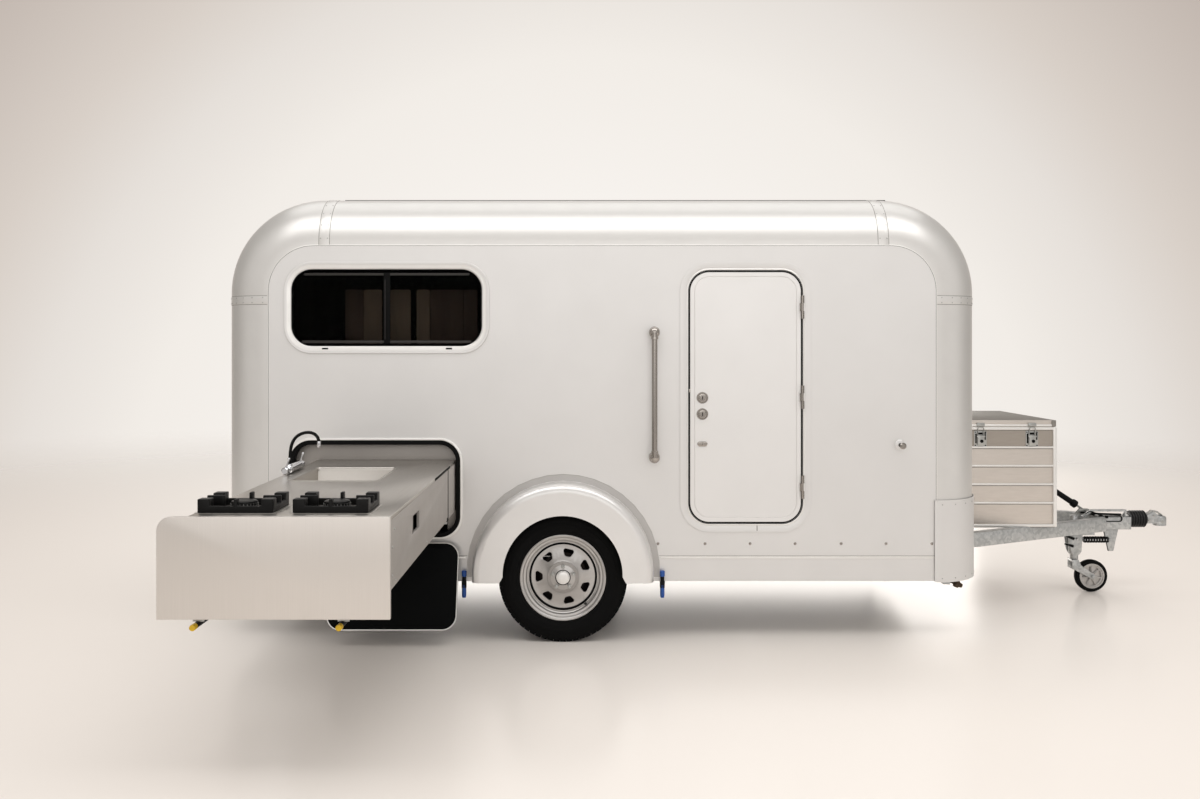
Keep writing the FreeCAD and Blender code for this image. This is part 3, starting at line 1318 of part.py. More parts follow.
def build_safety_line():
    """Coated line that pulls the brake on: loop, clamp, tail and eye on the drawbar's near side."""
    rear = "drawbar_front + line_loop_setback"
    front = f"{rear} + line_loop_length"
    top = "rail_top + line_radius"
    lane = "-(housing_half + line_radius)"
    bow = "line_loop_height / 2"
    middle = f"{top} - {bow}"
    clamp_rear = f"{rear} - {bow}"
    eye_front = f"{clamp_rear} - line_tail + line_eye"
    across = (f"{lane} - line_radius", "-housing_half")
    return fuse("line_solid",
                rod("line_top", "X", (lane, top), "line_radius", (rear, front)),
                rod("line_foot", "X", (lane, f"{top} - line_loop_height"), "line_radius", (rear, front)),
                half_ring("line_front_bow", (front, lane, middle), bow, "line_radius", -90),
                half_ring("line_rear_bow", (rear, lane, middle), bow, "line_radius", 90),
                block("line_clamp", (clamp_rear, f"{clamp_rear} + line_clamp_length"), across,
                      (f"{top} - line_clamp_drop", f"{top} + line_radius")),
                rod("line_tail_run", "X", (lane, top), "line_radius", (eye_front, clamp_rear)),
                block("line_eye_block", (f"{eye_front} - line_eye", eye_front), across,
                      ("rail_top", f"{top} + line_radius")))


def build_handbrake():
    """Bracket, rod and thick grip of the lever, leaning back from its pivot."""
    half = "lever_grip / 2"
    across = (f"lever_y - {half}", f"lever_y + {half}")
    pivot_x = "drawbar_front - lever_setback"
    pivot_z = "rail_top + lever_pivot_rise"
    share = "lever_grip_length / (lever_reach + lever_rise)"
    tip = (f"{pivot_x} - lever_reach", f"{pivot_z} + lever_rise")
    knee = (f"{tip[0]} + lever_reach * {share}", f"{tip[1]} - lever_rise * {share}")

    def bar(name, low, high, thick):
        return prism(name, "Y", [(f"{low[0]} - {thick} / 4", f"{low[1]} - {thick} / 2"),
                                 (f"{low[0]} + {thick} / 4", f"{low[1]} + {thick} / 2"),
                                 (f"{high[0]} + {thick} / 4", f"{high[1]} + {thick} / 2"),
                                 (f"{high[0]} - {thick} / 4", f"{high[1]} - {thick} / 2")], across)
    post = prism("lever_post", "Y", [(f"{pivot_x} - 2 * lever_foot", "rail_top"),
                                     ("drawbar_front", "rail_top"),
                                     ("drawbar_front - lever_foot", f"{pivot_z} + lever_rod"),
                                     (f"{pivot_x} - lever_foot", f"{pivot_z} + lever_rod")], across)
    return fuse("lever_solid", post, bar("lever_rod", (pivot_x, pivot_z), knee, "lever_rod"),
                bar("lever_grip", knee, tip, "lever_grip"))


def build_jockey():
    """Jockey wheel: clamp on the drawbar, leg, swivelling fork and wheel."""
    centre = ("jockey_x", "0")
    blade = "jockey_blade"
    bore = "jockey_leg_radius + runner_gap"
    plate = block("jockey_plate", ("jockey_x - jockey_plate_rear", "jockey_x + jockey_plate_front"),
                  ("-drawbar_start_outer / 4", "drawbar_start_outer / 4"),
                  ("rail_bottom - 2 * jockey_blade", "rail_bottom"))
    sleeve = rod("jockey_sleeve", "Z", centre, "jockey_sleeve_radius",
                 ("jockey_sleeve_bottom", "rail_bottom"))
    hole = rod("jockey_hole", "Z", centre, bore, ("jockey_sleeve_bottom - overcut",
                                                 "rail_top + overcut"))
    crank_x = "jockey_x + crank_reach"
    crank = prism("crank_plate", "Y", [(f"{crank_x} - crank_width / 2", "rail_bottom - crank_drop"),
                                       (f"{crank_x}", "rail_bottom - crank_drop"),
                                       (f"{crank_x} + crank_width / 2", "rail_bottom"),
                                       (f"{crank_x} - crank_width", "rail_bottom")],
                  (f"-{blade}", blade))
    grip = rod("crank_grip", "X", ("0", "rail_bottom - crank_drop / 2"), "crank_grip_radius",
               (f"{crank_x} - crank_width / 2 - crank_grip_length", f"{crank_x} - crank_width / 2"))
    carried = fuse("clamp_solid", plate, sleeve, crank)
    node("jockey_clamp", compound("clamp_and_grip", cut("clamp_bored", carried, hole), grip))
    crown_top = "jockey_crown + jockey_crown_thickness"
    node("jockey_leg", compound("jockey_tube", rod("leg_tube", "Z", centre, "jockey_leg_radius",
                                                   (f"{crown_top} + knuckle_gap", "rail_top"))))
    side = "jockey_wheel_width / 2 + jockey_blade"
    crown = block("fork_crown", ("jockey_x - jockey_leg_radius", "jockey_x + 14"),
                  (f"-({side} + {blade})", f"{side} + {blade}"), ("jockey_crown", crown_top))
    hub_x = "jockey_x + jockey_trail"
    blades = []
    for label, low in (("right", f"-({side} + {blade})"), ("left", side)):
        points = [("jockey_x - jockey_leg_radius", crown_top), ("jockey_x + 14", crown_top),
                  ("jockey_x + 30", "jockey_crown - 20"),
                  (f"{hub_x} + 12", "jockey_wheel_radius + 8"), (f"{hub_x} + 12", "jockey_wheel_radius - 12"),
                  (f"{hub_x} - 12", "jockey_wheel_radius - 14"),
                  ("jockey_x - jockey_leg_radius", "jockey_crown - 40")]
        blades.append(prism(f"fork_blade_{label}", "Y", points, (low, f"{low} + {blade}")))
    pin = rod("fork_pin", "Y", (hub_x, "jockey_wheel_radius"), "jockey_axle_radius",
              (f"-({side} + {blade})", f"{side} + {blade}"))
    node("jockey_fork", fuse("fork_solid", crown, *blades, pin))
    half = "jockey_wheel_width / 2"
    disc = rod("jockey_disc", "Y", (hub_x, "jockey_wheel_radius"), "jockey_wheel_radius",
               (f"-{half}", half))
    hole = rod("jockey_wheel_bore", "Y", (hub_x, "jockey_wheel_radius"),
               "jockey_axle_radius + pin_clearance", (f"-{half} - overcut", f"{half} + overcut"))
    node("jockey_wheel", cut("jockey_wheel_cut", disc, hole))


# Storage box, roof and small pieces


def build_storage_box():
    """Open aluminium chest on the drawbar and its hinged lid."""
    half = "box_width / 2"
    rim = "box_top - lid_height"
    outer = block("chest_outer", ("box_rear", "box_front"), (f"-{half}", half), ("box_floor", rim))
    space = block("chest_space", ("box_rear + box_wall", "box_front - box_wall"),
                  (f"-{half} + box_wall", f"{half} - box_wall"), ("box_floor + box_wall",
                                                                "box_top + overcut"))
    hinge_y = f"{half} + box_hinge_radius"
    lid_low = f"{rim} + lid_gap"
    centre = (hinge_y, rim)
    leaf_y = (half, hinge_y)
    middle = ("box_rear + box_length * 0.3", "box_rear + box_length * 0.7")
    chest_parts = [cut("chest_cut", outer, space),
                   rod("chest_knuckle", "X", centre, "box_hinge_radius", middle),
                   block("chest_leaf", middle, leaf_y, (f"{rim} - overcut", rim)),
                   rod("chest_pin", "X", centre, "hinge_pin_radius / 2",
                       ("box_rear + box_length * 0.1", "box_rear + box_length * 0.9"))]
    node("storage_box", fuse("chest_solid", *chest_parts))
    lid = block("lid_outer", ("box_rear", "box_front"), (f"-{half}", half), (lid_low, "box_top"))
    hollow = block("lid_space", ("box_rear + box_wall", "box_front - box_wall"),
                   (f"-{half} + box_wall", f"{half} - box_wall"), (f"{lid_low} - overcut",
                                                                 "box_top - box_wall"))
    lid_parts = [cut("lid_cut", lid, hollow)]
    for number, (low, high) in enumerate(((0.1, 0.29), (0.71, 0.9))):
        span = (f"box_rear + box_length * {low}", f"box_rear + box_length * {high}")
        lid_parts.append(rod(f"lid_knuckle_{number}", "X", centre, "box_hinge_radius", span))
        lid_parts.append(block(f"lid_leaf_{number}", span, leaf_y, (rim, f"{rim} + overcut")))
    bore = rod("lid_bore", "X", centre, "hinge_pin_radius / 2 + pin_clearance",
               ("box_rear", "box_front"))
    node("box_lid", cut("lid_bored", fuse("lid_solid", *lid_parts), bore))


def build_fittings():
    """Solar panel, cabin furniture, lamps and drain taps."""
    node("solar_panel", compound("panel_frame", block(
        "panel_slab", ("solar_rear", "solar_front"),
        ("-solar_width / 2", "solar_width / 2"), ("roof_height", "roof_height + solar_thickness"))))
    base = "bunk_height"
    wall_x = "-rear_overhang + wall_thickness"
    board = block("bunk_board", (wall_x, "bunk_front"), ("-inner_side", "inner_side"),
                  (base, f"{base} + bunk_thickness"))
    side = block("bunk_side", ("bunk_front - bunk_thickness", "bunk_front"),
                 ("-inner_side", "inner_side"), ("floor_top", base))
    room = shell_block("bunk_form", "-wall_thickness", "skirt_bottom")
    node("bunk", common("bunk_trimmed", fuse("bunk_solid", board, side), room))
    node("mattress", compound("mattress_solid", block(
        "mattress_slab", (f"{wall_x} + 8 * overcut", "bunk_front - overcut"),
        ("-inner_side + overcut", "inner_side - overcut"),
        (f"{base} + bunk_thickness + contact_gap",
         f"{base} + bunk_thickness + contact_gap + mattress_height"))))
    taps = []
    for number, spot in enumerate(("-drain_reach_rear", "drain_reach_front")):
        tap_y = "-half_width - overcut"
        stem = rod(f"drain_stem_{number}", "Z", (spot, tap_y), "drain_radius",
                   ("skirt_bottom - 4 * overcut", "skirt_bottom + 3 * overcut"))
        foot = block(f"drain_foot_{number}", (f"{spot} - hinge_pin_radius", f"{spot} + hinge_pin_radius"),
                     (tap_y, "-half_width"), ("skirt_bottom + overcut", "skirt_bottom + 2 * overcut"))
        taps.append(fuse(f"drain_tap_{number}", stem, foot))
    node("drain_taps", compound("tap_pair", *taps))
    lamp = block("lamp_block", ("-rear_overhang - 2 * overcut", "-rear_overhang"),
                 ("-flat_side + lamp_inset", "-flat_side + lamp_inset + lamp_width"),
                 ("lamp_z", "lamp_z + lamp_height"))
    node("rear_lamps", both_sides("lamp_pair", lamp))


# Build, check and write


def failed_objects():
    """Labels of objects whose last recompute went wrong."""
    bad = []
    for thing in doc.Objects:
        if "Invalid" in thing.State or "Error" in thing.State:
            bad.append(f"{thing.Name}: {thing.State}")
    return bad


def write_parts():
    """Check each sub-part and write it to its own file."""
    os.makedirs("parts", exist_ok=True)
    problems = failed_objects()
    for piece in NODES:
        shape = piece.Shape
        if shape.isNull() or not shape.isValid() or not shape.Solids:
            problems.append(f"{piece.Label}: bad shape")
    if problems:
        raise RuntimeError("; ".join(problems))
    for piece in NODES:
        piece.Shape.exportStep(f"parts/{piece.Label}.step")
        box = piece.Shape.BoundBox
        print(f"{piece.Label}: {len(piece.Shape.Solids)} solids, "
              f"{piece.Shape.Volume / 1e6:.2f} litres, "
              f"x {box.XMin:.0f} {box.XMax:.0f} y {box.YMin:.0f} {box.YMax:.0f} "
              f"z {box.ZMin:.0f} {box.ZMax:.0f}")


def main():
    """Build every sub-part, recompute once more and write the files."""
    fill_sheet()
    build_shell()
    build_windows()
    build_door()
    build_grab_rail()
    build_kitchen_opening()
    build_carriage()
    build_drawer()
    build_flap()
    build_wheels()
    build_axle()
    build_fenders()
    build_floor()
    build_chassis()
    build_steadies()
    build_drawbar()
    build_jockey()
    build_storage_box()
    build_fittings()
    doc.recompute()
    write_parts()


main()
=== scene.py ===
"""Finishes, fittings, light and camera of a compact camping trailer with a slide-out kitchen.

All lengths are metres. Pieces are drawn on the trailer's own ground, with X 0 at
the road axle and Z 0 on the floor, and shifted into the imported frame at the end.
"""

import logging
import math
from dataclasses import dataclass
from enum import Enum
from typing import Callable, Iterable, Sequence

import bmesh
import bpy
from mathutils import Matrix, Vector


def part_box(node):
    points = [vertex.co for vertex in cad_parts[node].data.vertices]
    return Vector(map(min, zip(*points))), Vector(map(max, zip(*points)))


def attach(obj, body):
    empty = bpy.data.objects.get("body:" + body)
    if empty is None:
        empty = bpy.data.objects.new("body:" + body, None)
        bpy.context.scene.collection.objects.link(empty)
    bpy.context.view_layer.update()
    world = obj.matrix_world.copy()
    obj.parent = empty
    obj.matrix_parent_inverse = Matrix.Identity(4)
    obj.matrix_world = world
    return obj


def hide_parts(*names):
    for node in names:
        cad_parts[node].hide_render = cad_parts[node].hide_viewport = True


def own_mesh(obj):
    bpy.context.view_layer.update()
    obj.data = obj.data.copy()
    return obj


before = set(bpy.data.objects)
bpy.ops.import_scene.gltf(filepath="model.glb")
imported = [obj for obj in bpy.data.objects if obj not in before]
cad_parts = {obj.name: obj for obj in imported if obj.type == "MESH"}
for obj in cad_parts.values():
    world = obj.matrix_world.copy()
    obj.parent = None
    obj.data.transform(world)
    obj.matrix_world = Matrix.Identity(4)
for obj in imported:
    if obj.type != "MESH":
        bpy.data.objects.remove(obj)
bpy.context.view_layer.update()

LOG = logging.getLogger("trailer")
GROUND = Vector((-3.63, 0.0, -0.43))
SIDE = 1.0

Point = Sequence[float]


# Small tools


def linear(code: str) -> tuple[float, float, float, float]:
    """Turn an sRGB hex colour into linear light.

    Args:
        code: six hex digits.

    Returns:
        Red, green, blue and an alpha of one.
    """
    values = [int(code[i:i + 2], 16) / 255 for i in (0, 2, 4)]
    bent = [v / 12.92 if v <= 0.04045 else ((v + 0.055) / 1.055) ** 2.4 for v in values]
    return (bent[0], bent[1], bent[2], 1.0)


def add_node(tree: bpy.types.NodeTree, kind: str, links: dict | None = None,
             **settings: object) -> bpy.types.Node:
    """Add a node with its settings, values and links.

    Args:
        tree: the material's or world's node tree.
        kind: the node's type name.
        links: socket name or number to a value or to another node's socket.
        **settings: the node's own properties.

    Returns:
        The new node.
    """
    node = tree.nodes.new(kind)
    for key, value in settings.items():
        setattr(node, key, value)
    for key, value in (links or {}).items():
        if isinstance(value, bpy.types.NodeSocket):
            tree.links.new(value, node.inputs[key])
        else:
            node.inputs[key].default_value = value
    return node


class Axis(Enum):
    """The frame's three directions."""

    X = 0
    Y = 1
    Z = 2

    @property
    def vector(self) -> Vector:
        """Unit vector of the direction."""
        return Vector([1.0 if i == self.value else 0.0 for i in range(3)])

    @property
    def others(self) -> list[Vector]:
        """Unit vectors of the two other directions, in order."""
        return [kind.vector for kind in Axis if kind is not self]


# Finishes


class Grain(Enum):
    """What the fine pattern of a finish is made of."""

    CLOUD = "cloud"
    BRUSHED = "brushed"
    SPANGLE = "spangle"
    WEAVE = "weave"
    WOOD = "wood"
    CELLS = "cells"


@dataclass(frozen=True)
class Finish:
    """One real finish: its colours, gloss and fine pattern.

    A scale is the size in millimetres of one patch, grain or thread.
    """

    title: str
    colour: str
    second: str
    metallic: float = 0.0
    roughness: float = 0.5
    spread: float = 0.08
    grain: Grain = Grain.CLOUD
    scale: float = 40.0
    stretch: tuple[float, float, float] = (1.0, 1.0, 1.0)
    bump: float = 0.02
    share: float = 0.5
    coat: float = 0.0
    ior: float = 1.5
    transmission: float = 0.0
    sheen: float = 0.0
    specular: float = 0.5

    def pattern(self, tree: bpy.types.NodeTree) -> bpy.types.NodeSocket:
        """Build the grey pattern that drives colour, gloss and relief.

        Args:
            tree: the material's node tree.

        Returns:
            The socket with the pattern, from 0 to 1.
        """
        place = add_node(tree, "ShaderNodeTexCoord")
        per_metre = 1000.0 / self.scale
        scale = tuple(per_metre * part for part in self.stretch)
        spot = add_node(tree, "ShaderNodeMapping", {"Vector": place.outputs["Object"], "Scale": scale})
        vector = spot.outputs["Vector"]
        if self.grain is Grain.SPANGLE:
            cells = add_node(tree, "ShaderNodeTexVoronoi", {"Vector": vector, "Scale": 1.0}, feature="F1")
            bright = add_node(tree, "ShaderNodeSeparateColor", {"Color": cells.outputs["Color"]})
            return bright.outputs["Red"]
        if self.grain is Grain.WEAVE:
            across = add_node(tree, "ShaderNodeTexWave", {"Vector": vector, "Scale": 0.31,
                                                          "Distortion": 0.6}, bands_direction="X")
            down = add_node(tree, "ShaderNodeTexWave", {"Vector": vector, "Scale": 0.31,
                                                        "Distortion": 0.6}, bands_direction="Y")
            both = add_node(tree, "ShaderNodeMath", {0: across.outputs["Fac"], 1: down.outputs["Fac"]},
                            operation="MULTIPLY")
            return both.outputs[0]
        if self.grain is Grain.WOOD:
            rings = add_node(tree, "ShaderNodeTexWave", {"Vector": vector, "Scale": 0.5,
                                                         "Distortion": 7.0, "Detail": 4.0,
                                                         "Detail Scale": 1.4}, bands_direction="Y")
            return rings.outputs["Fac"]
        if self.grain is Grain.CELLS:
            bricks = add_node(tree, "ShaderNodeTexBrick", {
                "Vector": vector, "Scale": 1.0, "Color1": (0, 0, 0, 1), "Color2": (0.05, 0.05, 0.05, 1),
                "Mortar": (1, 1, 1, 1), "Mortar Size": 0.012, "Brick Width": 1.0, "Row Height": 1.0},
                offset=0.0)
            return bricks.outputs["Color"]
        noise = add_node(tree, "ShaderNodeTexNoise", {"Vector": vector, "Scale": 1.0, "Detail": 5.0,
                                                      "Roughness": 0.55})
        return noise.outputs["Fac"]

    def make(self) -> bpy.types.Material:
        """Build the material, or give back the one already built.

        Returns:
            The material.
        """
        found = bpy.data.materials.get(self.title)
        if found:
            return found
        material = bpy.data.materials.new(self.title)
        material.use_nodes = True
        tree = material.node_tree
        shader = tree.nodes["Principled BSDF"]
        pattern = self.pattern(tree)
        shade = add_node(tree, "ShaderNodeMix", {"Factor": pattern, "A": linear(self.colour),
                                                 "B": linear(self.second)}, data_type="RGBA")
        for socket in shade.inputs:
            if socket.type == "RGBA":
                socket.default_value = linear(self.colour if socket.name == "A" else self.second)
        mixed = [socket for socket in shade.outputs if socket.type == "RGBA"][0]
        tree.links.new(mixed, shader.inputs["Base Color"])
        gloss = add_node(tree, "ShaderNodeMapRange", {
            "Value": pattern, "To Min": max(0.02, self.roughness - self.spread),
            "To Max": min(1.0, self.roughness + self.spread)})
        tree.links.new(gloss.outputs["Result"], shader.inputs["Roughness"])
        relief = add_node(tree, "ShaderNodeBump", {"Height": pattern, "Strength": self.share,
                                                   "Distance": self.bump / 1000})
        tree.links.new(relief.outputs["Normal"], shader.inputs["Normal"])
        shader.inputs["Metallic"].default_value = self.metallic
        shader.inputs["Coat Weight"].default_value = self.coat
        if self.metallic < 1.0:
            shader.inputs["IOR"].default_value = self.ior
        shader.inputs["Transmission Weight"].default_value = self.transmission
        shader.inputs["Sheen Weight"].default_value = self.sheen
        shader.inputs["Specular IOR Level"].default_value = self.specular
        return material


# Anodised aluminium sheet of the sandwich walls: a soft, even silver with hardly a reflection
PANEL = Finish("anodised_panel_sheet", "dcdad8", "d6d4d2", 0.55, 0.42, 0.04, Grain.CLOUD, 260.0, bump=0.05)
# The door's skin, a little paler than the walls
DOOR_SKIN = Finish("anodised_door_sheet", "e3e1df", "dddbd9", 0.5, 0.42, 0.04, Grain.CLOUD, 240.0, bump=0.05)
# Anodised extrusions of the edge rails and posts: silkier than the sheet, drawn along their length
PROFILE = Finish("anodised_edge_profile", "dddbd8", "d2d0cd", 0.6, 0.34, 0.05, Grain.CLOUD, 150.0, bump=0.03)
# Polished aluminium pressings of the wheel arches, glossier than the walls
FENDER_SHEET = Finish("polished_arch_sheet", "e4e2e0", "dcdad8", 0.65, 0.33, 0.03, Grain.CLOUD, 180.0,
                      bump=0.02)
# Darker grey band over the arch flange where it lies on the wall
FLANGE_SHEET = Finish("matt_arch_flange", "bcb9b6", "b5b2af", 0.5, 0.48, 0.04, Grain.CLOUD, 120.0, bump=0.02)
# Pale anodised trims, beads and frames with crisp bright edges; their paler tone is partly painted highlight,
# and wholly so on the chest's ribs
PALE_TRIM_AND_HIGHLIGHT = Finish("pale_trim_and_painted_highlight", "eae8e5", "e0deda", 0.5, 0.3, 0.05, Grain.CLOUD, 60.0, bump=0.02)
# Press-shop aluminium of the storage box: duller, with fine scratches
BOX_SHEET = Finish("mill_aluminium_sheet", "d6cec6", "c9c1b9", 0.7, 0.4, 0.07, Grain.CLOUD, 70.0,
                   (1.0, 1.0, 6.0), bump=0.04)
# The same sheet in the band under the lid's rim, darkened as painted shade
BOX_BAND_SHADED = Finish("aluminium_band_painted_shade", "a8a097", "9c948b", 0.6, 0.44, 0.06, Grain.CLOUD, 70.0,
                  (1.0, 1.0, 6.0), bump=0.04)
# Top of the storage box's lid, darker as painted shade
BOX_TOP_SHADED = Finish("aluminium_lid_painted_shade", "938f89", "84807a", 0.6, 0.5, 0.08, Grain.CLOUD, 50.0, bump=0.05)
# Stainless steel brushed upright on the drawer's front
STEEL_FRONT = Finish("brushed_stainless_front", "dbd5cf", "d2ccc6", 0.7, 0.36, 0.04, Grain.BRUSHED, 9.0,
                     (4.0, 4.0, 0.03), bump=0.004)
# Stainless steel brushed along the worktop and sink
STEEL_TOP = Finish("brushed_stainless_worktop", "cdc8c2", "bab5ae", 0.95, 0.3, 0.06, Grain.BRUSHED, 12.0,
                   (4.0, 0.05, 4.0), bump=0.012)
# Powder-coated sheet of the drawer's sides, warm grey
DRAWER_SIDE = Finish("coated_drawer_sheet", "a49f9a", "9c9792", 0.3, 0.46, 0.04, Grain.CLOUD, 90.0, bump=0.03)
# Hot-dip zinc on the frame, drawbar and axle: flat crystals of two greys
ZINC = Finish("hot_dip_zinc", "c2c3c2", "a9abab", 0.75, 0.38, 0.09, Grain.SPANGLE, 14.0, bump=0.02)
# Bright electroplated zinc of bolts, clamps and brackets
PLATED = Finish("bright_plated_zinc", "bcbcb9", "a2a3a0", 0.9, 0.3, 0.08, Grain.CLOUD, 12.0, bump=0.01)
# Polished chrome of taps, handles and locks
CHROME = Finish("polished_chrome", "dcdde0", "cfd0d3", 1.0, 0.1, 0.04, Grain.CLOUD, 30.0, bump=0.004)
# Polished stainless tube of the grab rail and the lock covers, darker than chrome
POLISHED_STEEL = Finish("polished_stainless_tube", "aaa49e", "99938d", 1.0, 0.2, 0.05, Grain.BRUSHED, 8.0,
                        (3.0, 3.0, 0.1), bump=0.006)
# Polished cast ball ends of the grab rail
BALL_STEEL = Finish("polished_ball_casting", "b4aea8", "a6a09a", 1.0, 0.14, 0.05, Grain.CLOUD, 12.0,
                    bump=0.01)
# Dark anodised slide rails of the panes
GLAZING_RAIL = Finish("dark_anodised_rail", "3b3937", "302e2c", 0.6, 0.4, 0.06, Grain.CLOUD, 20.0, bump=0.01)
# Grey used as painted shadow: a fine line beside cover strips, a line under the chest's ribs and the tick of
# the door's sill drain
SHADOW_LINE_GREY = Finish("painted_shadow_line_grey", "87837e", "7a7672", 0.0, 0.7, 0.06, Grain.CLOUD, 6.0, bump=0.03)
# Brown corroded steel of spindle nuts
CORRODED = Finish("corroded_steel_nut", "5d4c3d", "3d342c", 0.6, 0.55, 0.12, Grain.CLOUD, 7.0, bump=0.2)
# Silver wheel lacquer on pressed steel
WHEEL_PAINT = Finish("silver_wheel_lacquer", "c0bdba", "b2afac", 0.8, 0.32, 0.06, Grain.CLOUD, 9.0,
                     bump=0.02, coat=0.3)
# The same lacquer, darker, around the wheel nuts
HUB_PAINT = Finish("darker_hub_lacquer", "a8a4a0", "8b8783", 0.6, 0.4, 0.1, Grain.CLOUD, 5.0, bump=0.06)
# Cast iron of the brake drums, lightly rusted, darkened to near black as painted shade inside the wheel
DRUM_IRON_SHADED = Finish("rusted_iron_painted_shade", "201d1b", "2f2723", 0.4, 0.75, 0.1, Grain.CLOUD, 18.0, bump=0.3,
                   specular=0.2)
# Black enamel on the cast pan supports
ENAMEL = Finish("black_pan_enamel", "0b0b0b", "151413", 0.0, 0.36, 0.1, Grain.CLOUD, 5.0, bump=0.12,
                coat=0.02,
                specular=0.15)
# Tyre rubber, slightly grey with dust
TYRE = Finish("tyre_rubber", "090909", "101010", 0.0, 0.66, 0.1, Grain.CLOUD, 22.0, bump=0.15, specular=0.07)
# Soft black seal rubber
SEAL = Finish("seal_rubber", "080808", "101010", 0.0, 0.55, 0.08, Grain.CLOUD, 8.0, bump=0.05, specular=0.07)
# Moulded bellows rubber with a slight sheen on its folds
BELLOWS = Finish("moulded_bellows_rubber", "141414", "1c1c1c", 0.0, 0.36, 0.06, Grain.CLOUD, 6.0, bump=0.03,
                 specular=0.5)
# Moulded black plastic of grips, knobs and latches
BLACK_PLASTIC = Finish("moulded_black_plastic", "0a0a0a", "131313", 0.0, 0.42, 0.08, Grain.CLOUD, 2.5,
                       bump=0.06,
                       specular=0.12)
# Smoked acrylic of the hinged panes: nearly black from outside
SMOKED = Finish("smoked_acrylic_pane", "8a8682", "837f7b", 0.0, 0.04, 0.02, Grain.CLOUD, 300.0, bump=0.01,
                ior=1.06, transmission=1.0, specular=0.5)
# Dark textured plastic board of the drop flap
DARK_BOARD = Finish("grained_dark_board", "070808", "0c0d0e", 0.0, 0.5, 0.08, Grain.CLOUD, 3.0, bump=0.1,
                    specular=0.04)
# Solar cells under clear film, dark blue with pale lines between them
SOLAR_CELLS = Finish("solar_cells_under_film", "0b0f1c", "8d929b", 0.0, 0.18, 0.03, Grain.CELLS, 158.0,
                     bump=0.0, share=0.05, coat=0.6)
# Varnished plywood of the bunk
PLYWOOD = Finish("varnished_plywood", "b08a5c", "8f6b42", 0.0, 0.4, 0.06, Grain.WOOD, 120.0, (0.35, 1.0, 1.0),
                 bump=0.05, coat=0.2)
# Laminated cupboard board in the cabin, grey-brown
CABIN_BOARD = Finish("laminated_cabin_board", "c2b3a3", "b4a595", 0.0, 0.5, 0.06, Grain.WOOD, 60.0,
                     (1.0, 1.0, 0.15), bump=0.02)
# A darker copy of the same board, for painted shade on some of the cupboards
CABIN_BOARD_SHADED = Finish("laminated_cabin_board_painted_shade", "84736a", "776660", 0.0, 0.5, 0.06, Grain.WOOD, 60.0,
                    (1.0, 1.0, 0.15), bump=0.02)
# Near-black curtain cloth behind the cupboards, which fills the cabin as painted shade
CURTAIN_PAINTED_SHADE = Finish("dark_curtain_painted_shade", "0a0a0b", "111112", 0.0, 0.9, 0.05, Grain.WEAVE, 2.0, bump=0.2,
                 specular=0.02)
# Underside board of the floor, sealed nearly black
FLOOR_BOARD = Finish("sealed_floor_board", "2b2926", "38342f", 0.0, 0.7, 0.08, Grain.WOOD, 90.0,
                     (0.3, 1.0, 1.0),
                     bump=0.1)
# Woven mattress ticking
TICKING = Finish("woven_mattress_ticking", "8d857b", "766e64", 0.0, 0.85, 0.05, Grain.WEAVE, 3.0, bump=0.3,
                 sheen=0.3)
# Red and amber lamp lenses with moulded ribs
RED_LENS = Finish("moulded_red_lens", "8e0b0b", "6d0707", 0.0, 0.15, 0.05, Grain.CLOUD, 6.0, bump=0.1,
                  coat=0.5)
AMBER_LENS = Finish("moulded_amber_lens", "b5640c", "96500a", 0.0, 0.15, 0.05, Grain.CLOUD, 6.0, bump=0.1,
                    coat=0.5)
# Blue lever plastic of the drain taps and yellow caps of the kitchen legs
BLUE_PLASTIC = Finish("moulded_blue_plastic", "1c4f9c", "17448a", 0.0, 0.4, 0.06, Grain.CLOUD, 4.0, bump=0.04)
YELLOW_PLASTIC = Finish("moulded_yellow_plastic", "e0b81e", "cfa512", 0.0, 0.4, 0.06, Grain.CLOUD, 4.0,
                        bump=0.04)
# White plastic of the roof's cable gland and the blank plate
WHITE_PLASTIC = Finish("moulded_white_plastic", "e9e8e4", "deddd9", 0.0, 0.4, 0.06, Grain.CLOUD, 6.0,
                       bump=0.03)


# Mesh making


def rounded_outline(low: Point, high: Point, radii: Sequence[float] | float,
                    steps: int = 12) -> list[tuple[float, float]]:
    """Points of a rectangle with round corners, in order round it.

    Args:
        low: lowest corner.
        high: highest corner.
        radii: one radius, or one for each corner from the lowest one, turning left.
        steps: edges in each round corner.

    Returns:
        The points.
    """
    four = [radii] * 4 if isinstance(radii, (int, float)) else list(radii)
    signs = ((-1, -1), (1, -1), (1, 1), (-1, 1))
    points = []
    for number, ((sx, sy), radius) in enumerate(zip(signs, four)):
        cx = (low[0] + radius) if sx < 0 else (high[0] - radius)
        cy = (low[1] + radius) if sy < 0 else (high[1] - radius)
        count = steps if radius > 0.0005 else 0
        for step in range(count + 1):
            turn = math.pi * (1 + number / 2) + (math.pi / 2) * (step / count if count else 0.5)
            reach = radius if count else 0.0
            points.append((cx + reach * math.cos(turn), cy + reach * math.sin(turn)))
    return points


def round_edges(part: bmesh.types.BMesh, edges: list, width: float, steps: int) -> None:
    """Round some edges of a part to a width, in a number of segments."""
    bmesh.ops.bevel(part, geom=edges, offset=width, offset_type="OFFSET", segments=steps, profile=0.5,
                    affect="EDGES", material=-1, clamp_overlap=True)


def outline_face(part: bmesh.types.BMesh, outline: Sequence[Point], axis: Axis,
                 level: float) -> bmesh.types.BMFace:
    """Fill an outline with one face that lies square to an axis."""
    across, up = axis.others
    return part.faces.new([part.verts.new(across * a + up * b + axis.vector * level) for a, b in outline])


def only(items: Iterable, kind: type) -> list:
    """Pick the vertices, edges or faces out of what an operator gives back."""
    return [item for item in items if isinstance(item, kind)]


